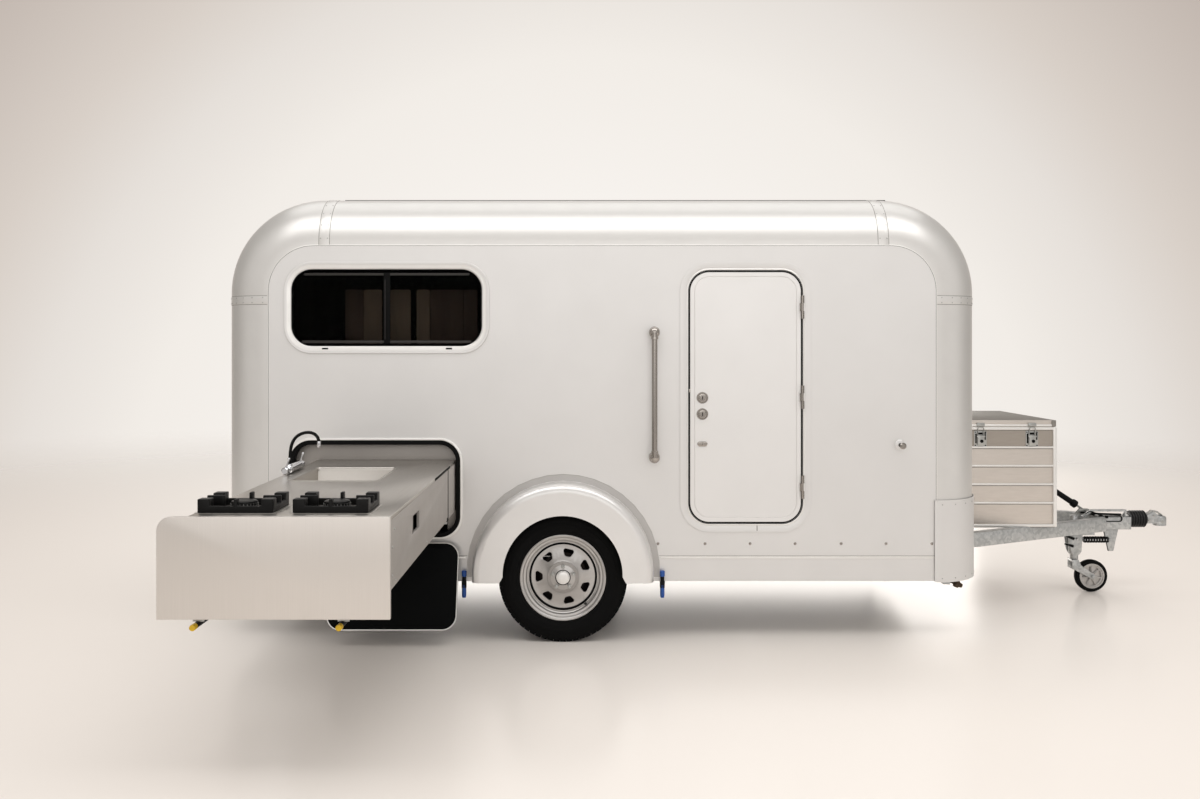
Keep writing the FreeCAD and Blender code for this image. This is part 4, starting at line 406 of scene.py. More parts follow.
class Form:
    """A mesh in the making, on the trailer's own ground."""

    def __init__(self) -> None:
        """Start with nothing."""
        self.mesh = bmesh.new()

    def take(self, part: bmesh.types.BMesh, finish: int | None = 0) -> "Form":
        """Add a part and give its faces a finish number.

        Args:
            part: the part's bmesh, freed here.
            finish: number of the finish in the piece's list, or None to keep the part's own.

        Returns:
            This form.
        """
        if finish is not None:
            for face in part.faces:
                face.material_index = finish
        held = bpy.data.meshes.new("held")
        part.to_mesh(held)
        part.free()
        self.mesh.from_mesh(held)
        bpy.data.meshes.remove(held)
        return self

    def block(self, low: Point, high: Point, round_by: float = 0.0, finish: int = 0,
              turn: Matrix | None = None, steps: int = 2) -> "Form":
        """Add a box between two corners, with rounded edges if asked.

        Args:
            low: lowest corner.
            high: highest corner.
            round_by: width of the rounded edges.
            finish: finish number.
            turn: turn about the origin after it is made.
            steps: segments of the rounding.

        Returns:
            This form.
        """
        part = bmesh.new()
        bmesh.ops.create_cube(part, size=1.0)
        size = [high[i] - low[i] for i in range(3)]
        bmesh.ops.scale(part, vec=size, verts=part.verts)
        bmesh.ops.translate(part, vec=[(high[i] + low[i]) / 2 for i in range(3)], verts=part.verts)
        if round_by > 0:
            round_edges(part, part.edges[:], round_by, steps)
        if turn is not None:
            bmesh.ops.transform(part, matrix=turn, verts=part.verts)
        return self.take(part, finish)

    def rod(self, start: Point, end: Point, radius: float, tip: float | None = None,
            sides: int = 32, round_by: float = 0.0, finish: int = 0) -> "Form":
        """Add a round bar or cone between two points.

        Args:
            start: middle of the first end.
            end: middle of the other end.
            radius: radius at the start.
            tip: radius at the end, the same if left out.
            sides: faces around it.
            round_by: rounding of the end edges.
            finish: finish number.

        Returns:
            This form.
        """
        part = bmesh.new()
        line = Vector(end) - Vector(start)
        bmesh.ops.create_cone(part, cap_ends=True, cap_tris=False, segments=sides, radius1=radius,
                              radius2=radius if tip is None else tip, depth=line.length)
        if round_by > 0:
            rims = [edge for edge in part.edges if abs(edge.verts[0].co.z - edge.verts[1].co.z) < 1e-6]
            round_edges(part, rims, round_by, 3)
        turn = Vector((0, 0, 1)).rotation_difference(line.normalized()).to_matrix().to_4x4()
        middle = (Vector(start) + Vector(end)) / 2
        bmesh.ops.transform(part, matrix=Matrix.Translation(middle) @ turn, verts=part.verts)
        return self.take(part, finish)

    def bolt(self, start: Point, end: Point, radius: float, finish: int = 0) -> "Form":
        """Add a hexagon bolt head or nut between two points."""
        return self.rod(start, end, radius, None, 6, 0.001, finish)

    def ball(self, centre: Point, radius: float, scale: Point = (1, 1, 1), finish: int = 0,
             fine: int = 24) -> "Form":
        """Add a ball, squeezed along the axes if asked."""
        part = bmesh.new()
        bmesh.ops.create_uvsphere(part, u_segments=fine, v_segments=fine // 2, radius=radius)
        bmesh.ops.scale(part, vec=scale, verts=part.verts)
        bmesh.ops.translate(part, vec=centre, verts=part.verts)
        return self.take(part, finish)

    def turned(self, profile: Sequence[Point], centre: Point, axis: Axis, steps: int = 64,
               finish: int = 0, angle: float = 2 * math.pi, start: float = 0.0) -> "Form":
        """Add a profile of (along, out) points turned about an axis.

        Args:
            profile: points along the axis and out from it.
            centre: where the axis and the profile's zero are.
            axis: direction of the axis.
            steps: faces around it.
            finish: finish number.
            angle: how far it is turned.
            start: where the turn starts.

        Returns:
            This form.
        """
        part = bmesh.new()
        spots = [axis.vector * run + axis.others[0] * max(out, 0.0) for run, out in profile]
        verts = [part.verts.new(spot) for spot in spots]
        edges = [part.edges.new(pair) for pair in zip(verts, verts[1:])]
        full = abs(angle - 2 * math.pi) < 1e-6
        if start:
            bmesh.ops.rotate(part, cent=(0, 0, 0), matrix=Matrix.Rotation(start, 3, axis.vector),
                             verts=part.verts)
        bmesh.ops.spin(part, geom=verts + edges, cent=(0, 0, 0), axis=axis.vector, dvec=(0, 0, 0),
                       angle=angle, steps=steps, use_merge=full, use_duplicate=False)
        bmesh.ops.remove_doubles(part, verts=part.verts, dist=1e-6)
        bmesh.ops.recalc_face_normals(part, faces=part.faces)
        bmesh.ops.translate(part, vec=centre, verts=part.verts)
        return self.take(part, finish)

    def band(self, axis: Axis, centre: Point, inner: float, thick: float, span: Point,
             angles: Point, finish: int = 0) -> "Form":
        """Add a curved strip over part of a round edge.

        Args:
            axis: direction of the round edge.
            centre: point on the edge's axis.
            inner: radius on which the strip lies.
            thick: its thickness.
            span: low and high place along the axis.
            angles: start and end of the turn, in degrees.
            finish: finish number.

        Returns:
            This form.
        """
        profile = [(span[0], inner), (span[0], inner + thick * 0.6), (span[0] + 0.002, inner + thick),
                   (span[1] - 0.002, inner + thick), (span[1], inner + thick * 0.6), (span[1], inner),
                   (span[0], inner)]
        return self.turned(profile, centre, axis, 20, finish, math.radians(angles[1] - angles[0]),
                           math.radians(angles[0]))

    def plate(self, outline: Sequence[Point], axis: Axis, low: float, high: float,
              round_by: float = 0.0, finish: int = 0, turn: Matrix | None = None) -> "Form":
        """Add a flat outline given a thickness along an axis.

        Args:
            outline: points in the two other directions, in order.
            axis: direction of the thickness.
            low: one face.
            high: the other face.
            round_by: rounding of the outer edges.
            finish: finish number.
            turn: turn after it is made.

        Returns:
            This form.
        """
        part = bmesh.new()
        face = outline_face(part, outline, axis, low)
        moved = bmesh.ops.extrude_face_region(part, geom=[face])
        tops = only(moved["geom"], bmesh.types.BMVert)
        bmesh.ops.translate(part, vec=axis.vector * (high - low), verts=tops)
        bmesh.ops.recalc_face_normals(part, faces=part.faces)
        if round_by > 0:
            flat = [edge for edge in part.edges
                    if abs((edge.verts[0].co - edge.verts[1].co).dot(axis.vector)) < 1e-7]
            round_edges(part, flat, round_by, 2)
        if turn is not None:
            bmesh.ops.transform(part, matrix=turn, verts=part.verts)
        return self.take(part, finish)

    def stepped(self, outline: Sequence[Point], axis: Axis, level: float, out: float,
                steps: Sequence[Point], finishes: Sequence[int] | None = None,
                closed: bool = False) -> "Form":
        """Add a ring whose cross-section goes in and up by steps from an outline.

        Args:
            outline: points in the two other directions, in order.
            axis: direction that the ring faces.
            level: place of its back along the axis.
            out: +1 or -1, the way that the ring faces.
            steps: how far each step goes inwards and outwards from the surface.
            finishes: finish number of each step.
            closed: keeps the face in the middle.

        Returns:
            This form.
        """
        part = bmesh.new()
        face = outline_face(part, outline, axis, level)
        face.normal_update()
        if face.normal.dot(axis.vector) * out < 0:
            bmesh.ops.reverse_faces(part, faces=[face])
            face.normal_update()
        numbers = list(finishes or [0] * len(steps))
        for (inward, upward), number in zip(steps, numbers):
            before = set(part.faces)
            if inward < 1e-6:
                grown = bmesh.ops.extrude_face_region(part, geom=[face])["geom"]
                tops = only(grown, bmesh.types.BMVert)
                bmesh.ops.translate(part, vec=axis.vector * (upward * out), verts=tops)
                base, face = face, only(grown, bmesh.types.BMFace)[0]
                bmesh.ops.delete(part, geom=[base], context="FACES_ONLY")
            else:
                bmesh.ops.inset_region(part, faces=[face], thickness=inward, depth=upward,
                                       use_even_offset=True)
            for other in part.faces:
                if other not in before:
                    other.material_index = number
        face.material_index = numbers[-1]
        if not closed:
            bmesh.ops.delete(part, geom=[face], context="FACES_ONLY")
        return self.take(part, None)

    def tube(self, points: Sequence[Point], radius: float, finish: int = 0, sides: int = 6,
             order: int = 3) -> "Form":
        """Add a smooth bent tube through a row of control points."""
        curve = bpy.data.curves.new("held", "CURVE")
        curve.dimensions = "3D"
        curve.bevel_depth = radius
        curve.bevel_resolution = sides
        curve.use_fill_caps = True
        curve.resolution_u = 10
        spline = curve.splines.new("NURBS")
        spline.points.add(len(points) - 1)
        for spot, point in zip(spline.points, points):
            spot.co = (*point, 1.0)
        spline.order_u = order
        spline.use_endpoint_u = True
        held = bpy.data.objects.new("held", curve)
        bpy.context.scene.collection.objects.link(held)
        mesh = bpy.data.meshes.new_from_object(held.evaluated_get(bpy.context.evaluated_depsgraph_get()))
        part = bmesh.new()
        part.from_mesh(mesh)
        bpy.data.objects.remove(held)
        bpy.data.curves.remove(curve)
        bpy.data.meshes.remove(mesh)
        bmesh.ops.remove_doubles(part, verts=part.verts, dist=1e-6)
        bmesh.ops.recalc_face_normals(part, faces=part.faces)
        return self.take(part, finish)

    def rivets(self, spots: Iterable[Point], way: Point, radius: float, height: float,
               finish: int = 0, sides: int = 10) -> "Form":
        """Add low domed heads that stand on a surface.

        Args:
            spots: their places on the surface.
            way: direction in which they stand.
            radius: radius of a head.
            height: height of a head.
            finish: finish number.
            sides: faces around each.

        Returns:
            This form.
        """
        up = Vector(way).normalized()
        for spot in spots:
            foot = Vector(spot) - up * 0.001
            self.rod(foot, foot + up * (height * 0.6 + 0.001), radius, radius * 0.92, sides, 0, finish)
            self.rod(foot + up * (height * 0.6 + 0.001), foot + up * (height + 0.001), radius * 0.92,
                     radius * 0.5, sides, 0, finish)
        return self

    def copy_of(self, node: str, round_by: float = 0.0, finish: int = 0, angle: float = 30.0,
                steps: int = 2) -> "Form":
        """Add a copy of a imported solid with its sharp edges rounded.

        Args:
            node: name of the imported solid.
            round_by: width of the rounded edges.
            finish: finish number.
            angle: edges sharper than this are rounded.
            steps: segments of the rounding.

        Returns:
            This form.
        """
        part = bmesh.new()
        part.from_mesh(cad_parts[node].data)
        bmesh.ops.translate(part, vec=-GROUND, verts=part.verts)
        bmesh.ops.remove_doubles(part, verts=part.verts, dist=1e-5)
        bmesh.ops.dissolve_limit(part, angle_limit=math.radians(0.4), verts=part.verts, edges=part.edges)
        if round_by > 0:
            sharp = [edge for edge in part.edges
                     if edge.is_manifold and edge.calc_face_angle(0.0) > math.radians(angle)]
            round_edges(part, sharp, round_by, steps)
        return self.take(part, finish)

    def recolour(self, test: Callable[[Vector], bool], finish: int) -> "Form":
        """Give faces whose middle passes a test another finish number."""
        for face in self.mesh.faces:
            if test(face.calc_center_median()):
                face.material_index = finish
        return self

    def both_sides(self) -> "Form":
        """Add the mirror image across the centre line."""
        copied = bmesh.ops.duplicate(self.mesh, geom=self.mesh.verts[:] + self.mesh.edges[:]
                                     + self.mesh.faces[:])["geom"]
        bmesh.ops.scale(self.mesh, vec=(1, -1, 1), verts=only(copied, bmesh.types.BMVert))
        bmesh.ops.reverse_faces(self.mesh, faces=only(copied, bmesh.types.BMFace))
        return self

    def turn_by(self, matrix: Matrix) -> "Form":
        """Move or turn the whole form."""
        bmesh.ops.transform(self.mesh, matrix=matrix, verts=self.mesh.verts)
        return self

    def dress(self, name: str, body: str, finishes: Finish | Sequence[Finish], slot: str,
              stands_for: Sequence[str] = (), sharp: float = 35.0) -> bpy.types.Object:
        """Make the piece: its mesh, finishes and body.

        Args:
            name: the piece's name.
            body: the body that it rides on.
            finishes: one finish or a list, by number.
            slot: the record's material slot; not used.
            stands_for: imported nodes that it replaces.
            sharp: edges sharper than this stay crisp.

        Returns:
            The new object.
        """
        bmesh.ops.translate(self.mesh, vec=GROUND, verts=self.mesh.verts)
        mesh = bpy.data.meshes.new(name)
        self.mesh.to_mesh(mesh)
        self.mesh.free()
        mesh.shade_smooth()
        mesh.set_sharp_from_angle(angle=math.radians(sharp))
        for finish in ([finishes] if isinstance(finishes, Finish) else finishes):
            mesh.materials.append(finish.make())
        piece = bpy.data.objects.new(name, mesh)
        bpy.context.scene.collection.objects.link(piece)
        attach(piece, body)
        if stands_for:
            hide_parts(*stands_for)
        LOG.info("%s: %d faces on %s", name, len(mesh.polygons), body)
        return piece


def dress_node(node: str, finish: Finish) -> None:
    """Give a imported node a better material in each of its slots."""
    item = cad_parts[node]
    if not item.material_slots:
        item.data.materials.append(finish.make())
    for holder in item.material_slots:
        holder.material = finish.make()
    LOG.info("%s: %s", node, finish.title)


def refine(node: str, name: str, body: str, finish: Finish, slot: str, round_by: float,
           steps: int = 2) -> None:
    """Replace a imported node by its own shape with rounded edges.

    Args:
        node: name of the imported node.
        name: name of the piece.
        body: the body that it rides on.
        finish: its finish.
        slot: the record's material slot.
        round_by: width of the rounded edges.
        steps: segments of the rounding.
    """
    Form().copy_of(node, round_by, 0, 30.0, steps).dress(name, body, finish, slot, [node])


# Body


@dataclass
class BodyShell:
    """Walls, roof, rounded edges and the riveted bands that join them."""

    edge_radius: float = 0.265
    half_width: float = 1.0
    flat_rear: float = -1.525
    flat_front: float = 1.927
    flat_top: float = 2.029
    seam: float = 0.424
    panel_corner: float = 0.24
    roof_bands: tuple[tuple[float, float], ...] = ((-1.262, -1.21), (1.628, 1.68))
    post_bands: tuple[float, float] = (1.726, 1.768)
    band_thick: float = 0.002
    band_bite: float = 0.0003
    shadow_margin: float = 0.003
    rivet: float = 0.0035
    rivet_tall: float = 0.0018
    rivet_inset: float = 0.008
    guard_thick: float = 0.009
    guard_rivet_tall: float = 0.002
    guard_levels: tuple[float, float] = (0.31, 0.69)
    bolt_row: tuple[float, ...] = (0.489, 0.732, 0.9645, 1.197, 1.435, 1.667, 1.904)
    bolt_height: float = 0.489

    def build(self) -> None:
        """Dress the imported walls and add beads, bands and bolts."""
        for node in ("wall_right", "wall_left", "roof", "end_walls", "skirt"):
            dress_node(node, PANEL)
        for node in ("roof_bends", "corner_posts", "corner_bends", "roof_rails"):
            dress_node(node, PROFILE)
        self.beads()
        self.bands()
        self.bolts()
        self.guards()

    def beads(self) -> None:
        """Thin bead with a dark sealant line round each side panel and along the skirt."""
        form = Form()
        outline = rounded_outline((self.flat_rear - 0.004, self.seam - 0.003),
                                  (self.flat_front + 0.004, self.flat_top + 0.004),
                                  (0.0, 0.0, self.panel_corner, self.panel_corner), 24)
        form.stepped(outline, Axis.Y, -self.half_width + 0.0005, -1,
                     [(0.0, 0.0014), (0.0015, 0.0008), (0.003, 0.0), (0.0012, -0.0018), (0.0022, 0.0)],
                     [0, 0, 0, 1, 1])
        form.both_sides().dress("side_panel_beads", "trailer", (PALE_TRIM_AND_HIGHLIGHT, SEAL), "silver_metal")
        lip = Form()
        for low, high in ((self.flat_rear, -0.503), (0.503, self.flat_front)):
            lip.block((low, -self.half_width - 0.0022, self.seam - 0.012),
                      (high, -self.half_width + 0.001, self.seam - 0.004), 0.001)
        lip.both_sides().dress("skirt_lips", "trailer", PALE_TRIM_AND_HIGHLIGHT, "silver_metal")

    def strip(self, form: Form, axis: Axis, centre: Point, span: Point, angles: Point,
              ways: Iterable[Vector]) -> None:
        """Cover strip over a joint, on a wider grey strip painted as its shadow line, with rivets along both
        edges.
        """
        inner = self.edge_radius - self.band_bite
        form.band(axis, centre, inner, self.band_thick / 3,
                  (span[0] - self.shadow_margin, span[1] + self.shadow_margin), angles, 2)
        form.band(axis, centre, inner, self.band_thick, span, angles)
        reach = self.edge_radius + self.band_thick - 0.0004
        for way in ways:
            for along in (span[0] + self.rivet_inset, span[1] - self.rivet_inset):
                form.rivets([Vector(centre) + way * reach + axis.vector * along], way, self.rivet,
                            self.rivet_tall, 1)

    def bands(self) -> None:
        """Riveted cover strips over the joints of rails, posts and bends."""
        form = Form()
        side = self.half_width - self.edge_radius
        turns = [math.radians(angle) for angle in range(8, 90, 16)]
        over_edge = [Vector((0.0, -math.cos(turn), math.sin(turn))) for turn in turns]
        for span in self.roof_bands:
            self.strip(form, Axis.X, (0, -side, self.flat_top), span, (180, 90), over_edge)
        for x, angles in ((self.flat_rear, (180, 270)), (self.flat_front, (270, 360))):
            turns = [math.radians(angle) for angle in range(angles[0] + 6, angles[1], 13)]
            round_post = [Vector((math.cos(turn), math.sin(turn), 0.0)) for turn in turns]
            self.strip(form, Axis.Z, (x, -side, 0), self.post_bands, angles, round_post)
        form.both_sides().dress("joint_bands", "trailer", (PROFILE, PLATED, SHADOW_LINE_GREY), "silver_metal")

    def bolts(self) -> None:
        """Row of capped bolts above the skirt, on both sides."""
        form = Form()
        for x in self.bolt_row:
            form.turned([(0.001, 0.0075), (-0.001, 0.0075), (-0.002, 0.0062), (-0.004, 0.0055),
                         (-0.0055, 0.003), (-0.006, 0.0)], (x, -self.half_width, self.bolt_height),
                        Axis.Y, 20)
        form.both_sides().dress("capped_bolts", "trailer", POLISHED_STEEL, "silver_metal")

    def guards(self) -> None:
        """Lower front corner guards with their rivets."""
        dress_node("corner_guards", PANEL)
        form = Form()
        side = self.half_width - self.edge_radius
        reach = self.edge_radius + self.guard_thick
        for level in self.guard_levels:
            for angle in range(276, 360, 16):
                turn = math.radians(angle)
                way = (math.cos(turn), math.sin(turn), 0.0)
                form.rivets([(self.flat_front + way[0] * reach, -side + way[1] * reach, level)], way,
                            self.rivet, self.guard_rivet_tall)
        form.both_sides().dress("guard_rivets", "trailer", PLATED, "silver_metal")


@dataclass
class SideWindow:
    """Sliding window of a side wall, with frame, gasket, rails and pane."""

    low: tuple[float, float] = (-1.3985, 1.514)
    high: tuple[float, float] = (-0.4255, 1.9)
    corner: float = 0.1
    flange: float = 0.044
    divider: float = -0.911
    slots: tuple[float, ...] = (-1.229, -0.59)
    # A board's third number 1 gives it the darker copy of the board finish, painted shade
    boards: tuple[tuple[float, float, int], ...] = (
        (-1.15, -1.056, 1), (-1.053, -0.958, 0), (-0.913, -0.807, 0), (-0.775, -0.706, 0),
        (-0.703, -0.529, 1), (-0.526, -0.455, 1))
    board_levels: tuple[float, float] = (1.16, 1.806)
    board_depth: tuple[float, float] = (-0.9, -0.882)
    curtain_levels: tuple[float, float] = (1.44, 1.945)
    curtain_depth: float = -0.85
    fold_count: int = 90
    fold_pitch: float = 0.012
    fold_reach: float = 0.008
    cloth: float = 0.0015

    def build(self) -> None:
        """Replace the frames and dress the panes of both sides."""
        form = Form()
        self.surround(form)
        form.both_sides()
        sleeve = Form().copy_of("window_frames")
        sleeve.recolour(lambda spot: abs(spot.y) > SIDE - 0.0005, 1)
        outer = [face for face in sleeve.mesh.faces if face.material_index == 1]
        bmesh.ops.delete(sleeve.mesh, geom=outer, context="FACES")
        form.take(sleeve.mesh, 1)
        form.dress("window_surrounds", "trailer", (PANEL, SEAL, PALE_TRIM_AND_HIGHLIGHT), "silver_metal", ["window_frames"])
        dress_node("window_glass", SMOKED)
        self.rails()
        self.cabin_boards()

    def surround(self, form: Form) -> None:
        """Flange that stands out and slopes inwards to a black gasket on the pane."""
        outline = rounded_outline((self.low[0] - self.flange, self.low[1] - self.flange),
                                  (self.high[0] + self.flange, self.high[1] + self.flange),
                                  self.corner + self.flange, 16)
        form.stepped(outline, Axis.Y, -SIDE + 0.0005, -1,
                     [(0.0, 0.0055), (0.0022, 0.0022), (0.013, 0.0), (0.0012, -0.0006),
                      (0.012, -0.0008), (0.0108, -0.0012), (0.0012, -0.0054), (0.008, 0.0), (0.001,
                                                                                               -0.006)],
                     [0, 0, 0, 2, 2, 2, 1, 1, 1])

    def rails(self) -> None:
        """Dark slide rails at the pane's top and foot, the meeting stile and dark blocks of painted shade for
        the drain slots.
        """
        form = Form()
        y_back, y_front = -SIDE + 0.002, -SIDE - 0.0012
        form.block((self.low[0] + 0.06, y_front, self.high[1] - 0.026),
                   (self.high[0] - 0.06, y_back, self.high[1] - 0.014), 0.001)
        form.block((self.low[0] + 0.05, y_front, self.low[1] + 0.01),
                   (self.high[0] - 0.05, y_back, self.low[1] + 0.024), 0.001)
        form.block((self.divider - 0.017, y_front - 0.0005, self.low[1] + 0.008),
                   (self.divider + 0.017, y_back, self.high[1] - 0.012), 0.001, 1)
        form.block((self.divider - 0.011, y_front - 0.0012, self.low[1] + 0.03),
                   (self.divider - 0.008, y_front, self.high[1] - 0.05), 0.0003, 0)
        # Dark blocks for the drain slots: painted shade
        for x in self.slots:
            form.block((x - 0.016, -SIDE - 0.0075, self.low[1] - 0.022),
                       (x + 0.016, -SIDE - 0.003, self.low[1] - 0.014), 0.001, 1)
        form.both_sides().dress("window_rails", "trailer", (GLAZING_RAIL, SEAL), "silver_metal")

    def cabin_boards(self) -> None:
        """Cupboards and a drawn curtain in the cabin that show dimly through the panes; the curtain's
        near-black cloth is painted shade.
        """
        form = Form()
        foot, top = self.board_levels
        for x_low, x_high, finish in self.boards:
            form.plate(rounded_outline((x_low, foot), (x_high, top), (0.004, 0.004, 0.012, 0.012), 4),
                       Axis.Y, *self.board_depth, 0.002, finish)
        form.both_sides().dress("cabin_cupboard_boards", "trailer", (CABIN_BOARD, CABIN_BOARD_SHADED), "plywood")
        curtain = Form()
        folds = [(self.low[0] - 0.05 + number * self.fold_pitch,
                  self.curtain_depth + self.fold_reach * math.sin(number * 0.9))
                 for number in range(self.fold_count)]
        back = [(x, y + self.cloth) for x, y in reversed(folds)]
        curtain.plate(folds + back, Axis.Z, *self.curtain_levels)
        curtain.both_sides().dress("cabin_curtains", "trailer", CURTAIN_PAINTED_SHADE, "fabric", (), 60.0)


@dataclass
class EntryDoor:
    """Side door with its skin, hinges, locks, retainer and grab rail."""

    rear: float = 0.655
    front: float = 1.227
    foot: float = 0.601
    top: float = 1.891
    corner: float = 0.099
    border: float = 0.02
    flange: float = 0.0526
    gap: float = 0.01
    sill_drain: float = 1.0
    lock_x: float = 0.718
    locks: tuple[float, float] = (1.242, 1.158)
    keyhole: float = 1.004
    rail_x: float = 0.468
    rail_y: float = -1.062
    rail_low: float = 0.938
    rail_high: float = 1.58

    def build(self) -> None:
        """Build every piece of the door."""
        self.surround()
        Form().copy_of("door_leaf").recolour(lambda spot: spot.y < -SIDE - 0.0085, 1).dress(
            "door_panel", "door", (DOOR_SKIN, POLISHED_STEEL), "silver_panel", ["door_leaf"])
        self.skin()
        self.lock_set()
        self.retainer()
        self.grab_rail()
        gap = Form()
        gap.stepped(rounded_outline((self.rear - self.gap, self.foot - self.gap),
                                    (self.front + self.gap, self.top + self.gap), self.corner + self.gap, 16),
                    Axis.Y, -SIDE - 0.0035, -1, [(0.0, 0.0009), (0.0036, 0.0), (0.0006, -0.0046),
                                                 (0.0056, 0.0)])
        gap.dress("door_gap_seal", "trailer", SEAL, "rubber")

    def surround(self) -> None:
        """Flange with a bright bead along the gap, the fixed hinge leaves and the sill drain."""
        form = Form()
        form.stepped(rounded_outline((self.rear - self.flange, self.foot - self.flange),
                                     (self.front + self.flange, self.top + self.flange),
                                     self.corner + self.flange, 16),
                     Axis.Y, -SIDE + 0.0005, -1,
                     [(0.0, 0.003), (0.0016, 0.0016), (0.031, 0.0), (0.0012, -0.0006), (0.0016, 0.0022),
                      (0.0046, 0.0), (0.0022, -0.0022), (0.0006, -0.003)],
                     [0, 0, 0, 2, 2, 2, 2, 2])
        # The sill drain is a small grey block, painted shade of the drain's slot
        form.block((self.sill_drain - 0.002, -SIDE - 0.0052, self.foot - 0.045),
                   (self.sill_drain + 0.002, -SIDE - 0.004, self.foot - 0.012), 0, 3)
        form.block((self.rear - 0.0072, -SIDE - 0.0035, 1.27), (self.rear + 0.001, -SIDE + 0.004, 1.288),
                   0.001, 1)
        copy = Form().copy_of("door_frame")
        copy.recolour(lambda spot: spot.y < -SIDE - 0.0085, 1)
        for number in (0, 1):
            part = copy.mesh.copy()
            bmesh.ops.delete(part, geom=[face for face in part.faces if face.material_index != number],
                             context="FACES")
            form.take(part, number)
        copy.mesh.free()
        form.dress("door_surround", "trailer", (PANEL, POLISHED_STEEL, PALE_TRIM_AND_HIGHLIGHT, SHADOW_LINE_GREY), "silver_metal",
                   ["door_frame"])

    def skin(self) -> None:
        """Sheet of the leaf with the fine pressed line that runs round it."""
        form = Form()
        form.stepped(rounded_outline((self.rear, self.foot), (self.front, self.top), self.corner, 16),
                     Axis.Y, -SIDE + 0.0004, -1,
                     [(0.0, 0.0006), (0.0012, 0.0022), (self.border, 0.0), (0.0022, -0.0022),
                      (0.0022, 0.0022),
                      (0.002, 0.0)], None, True)
        form.dress("door_skin", "door", DOOR_SKIN, "silver_panel")

    def lock_set(self) -> None:
        """Two round pushes and an oval keyhole cover."""
        form = Form()
        face = -SIDE - 0.002
        for z in self.locks:
            centre = (self.lock_x, face, z)
            form.turned([(0.002, 0.03), (-0.003, 0.03), (-0.005, 0.0285), (-0.005, 0.0245),
                         (-0.0025, 0.0235), (-0.0025, 0.0205), (-0.011, 0.0195), (-0.013, 0.017),
                         (-0.0135, 0.0)], centre, Axis.Y, 40)
            # Dark slit for the key way: painted shade
            form.block((self.lock_x - 0.0022, face - 0.0138, z - 0.009),
                       (self.lock_x + 0.0022, face - 0.0132, z + 0.009), 0, 1)
        oval = rounded_outline((self.lock_x - 0.026, self.keyhole - 0.013),
                               (self.lock_x + 0.026, self.keyhole + 0.013), 0.0129, 10)
        form.plate(oval, Axis.Y, face - 0.005, face + 0.002, 0.0015)
        form.turned([(-0.004, 0.009), (-0.0065, 0.009), (-0.0075, 0.007), (-0.0075, 0.0)],
                    (self.lock_x, face, self.keyhole), Axis.Y, 24)
        # Dark slit for the key way: painted shade
        form.block((self.lock_x - 0.001, face - 0.0078, self.keyhole - 0.005),
                   (self.lock_x + 0.001, face - 0.0072, self.keyhole + 0.005), 0, 1)
        form.dress("door_lock_set", "door", (POLISHED_STEEL, SEAL), "chrome", ["door_locks"])

    def retainer(self) -> None:
        """Sprung retainer that holds the open door, with its rubber tip."""
        low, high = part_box("door_catch")
        x = (low.x + high.x) / 2 - GROUND.x
        z = (low.z + high.z) / 2 - GROUND.z
        form = Form()
        form.turned([(0.0005, 0.028), (-0.003, 0.028), (-0.006, 0.024), (-0.008, 0.0095)],
                    (x, -SIDE, z), Axis.Y, 36, 2)
        form.turned([(-0.008, 0.011), (-0.03, 0.0095), (-0.042, 0.009)], (x, -SIDE, z), Axis.Y, 32)
        form.turned([(-0.04, 0.0095), (-0.042, 0.015), (-0.046, 0.0165), (-0.054, 0.0165), (-0.06, 0.011),
                     (-0.06, 0.0)], (x, -SIDE, z), Axis.Y, 36, 1)
        form.dress("door_retainer", "trailer", (SEAL, POLISHED_STEEL, PANEL), "aluminium", ["door_catch"])

    def grab_rail(self) -> None:
        """Upright rail between two ball ends on round feet."""
        form = Form()
        form.rod((self.rail_x, self.rail_y, self.rail_low), (self.rail_x, self.rail_y, self.rail_high),
                 0.0145, None, 32, 0, 0)
        for z in (self.rail_low, self.rail_high):
            form.ball((self.rail_x, self.rail_y + 0.018, z), 0.03, (0.95, 1.0, 1.0), 1, 32)
            form.turned([(0.0, 0.0265), (-0.004, 0.0265), (-0.008, 0.022), (-0.03, 0.017)],
                        (self.rail_x, -SIDE, z), Axis.Y, 32, 1)
            form.turned([(-0.03, 0.0172), (-0.032, 0.02), (-0.036, 0.02), (-0.038, 0.0172)],
                        (self.rail_x, -SIDE, z), Axis.Y, 32, 2)
            way = 1 if z < 1.2 else -1
            form.turned([(0.024 * way, 0.0185), (0.034 * way, 0.0185), (0.036 * way, 0.0165),
                         (0.036 * way, 0.0145)], (self.rail_x, self.rail_y, z), Axis.Z, 32, 1)
        form.dress("entry_grab_rail", "trailer", (POLISHED_STEEL, BALL_STEEL, SEAL), "silver_metal",
                   ["grab_rail"])


# Kitchen


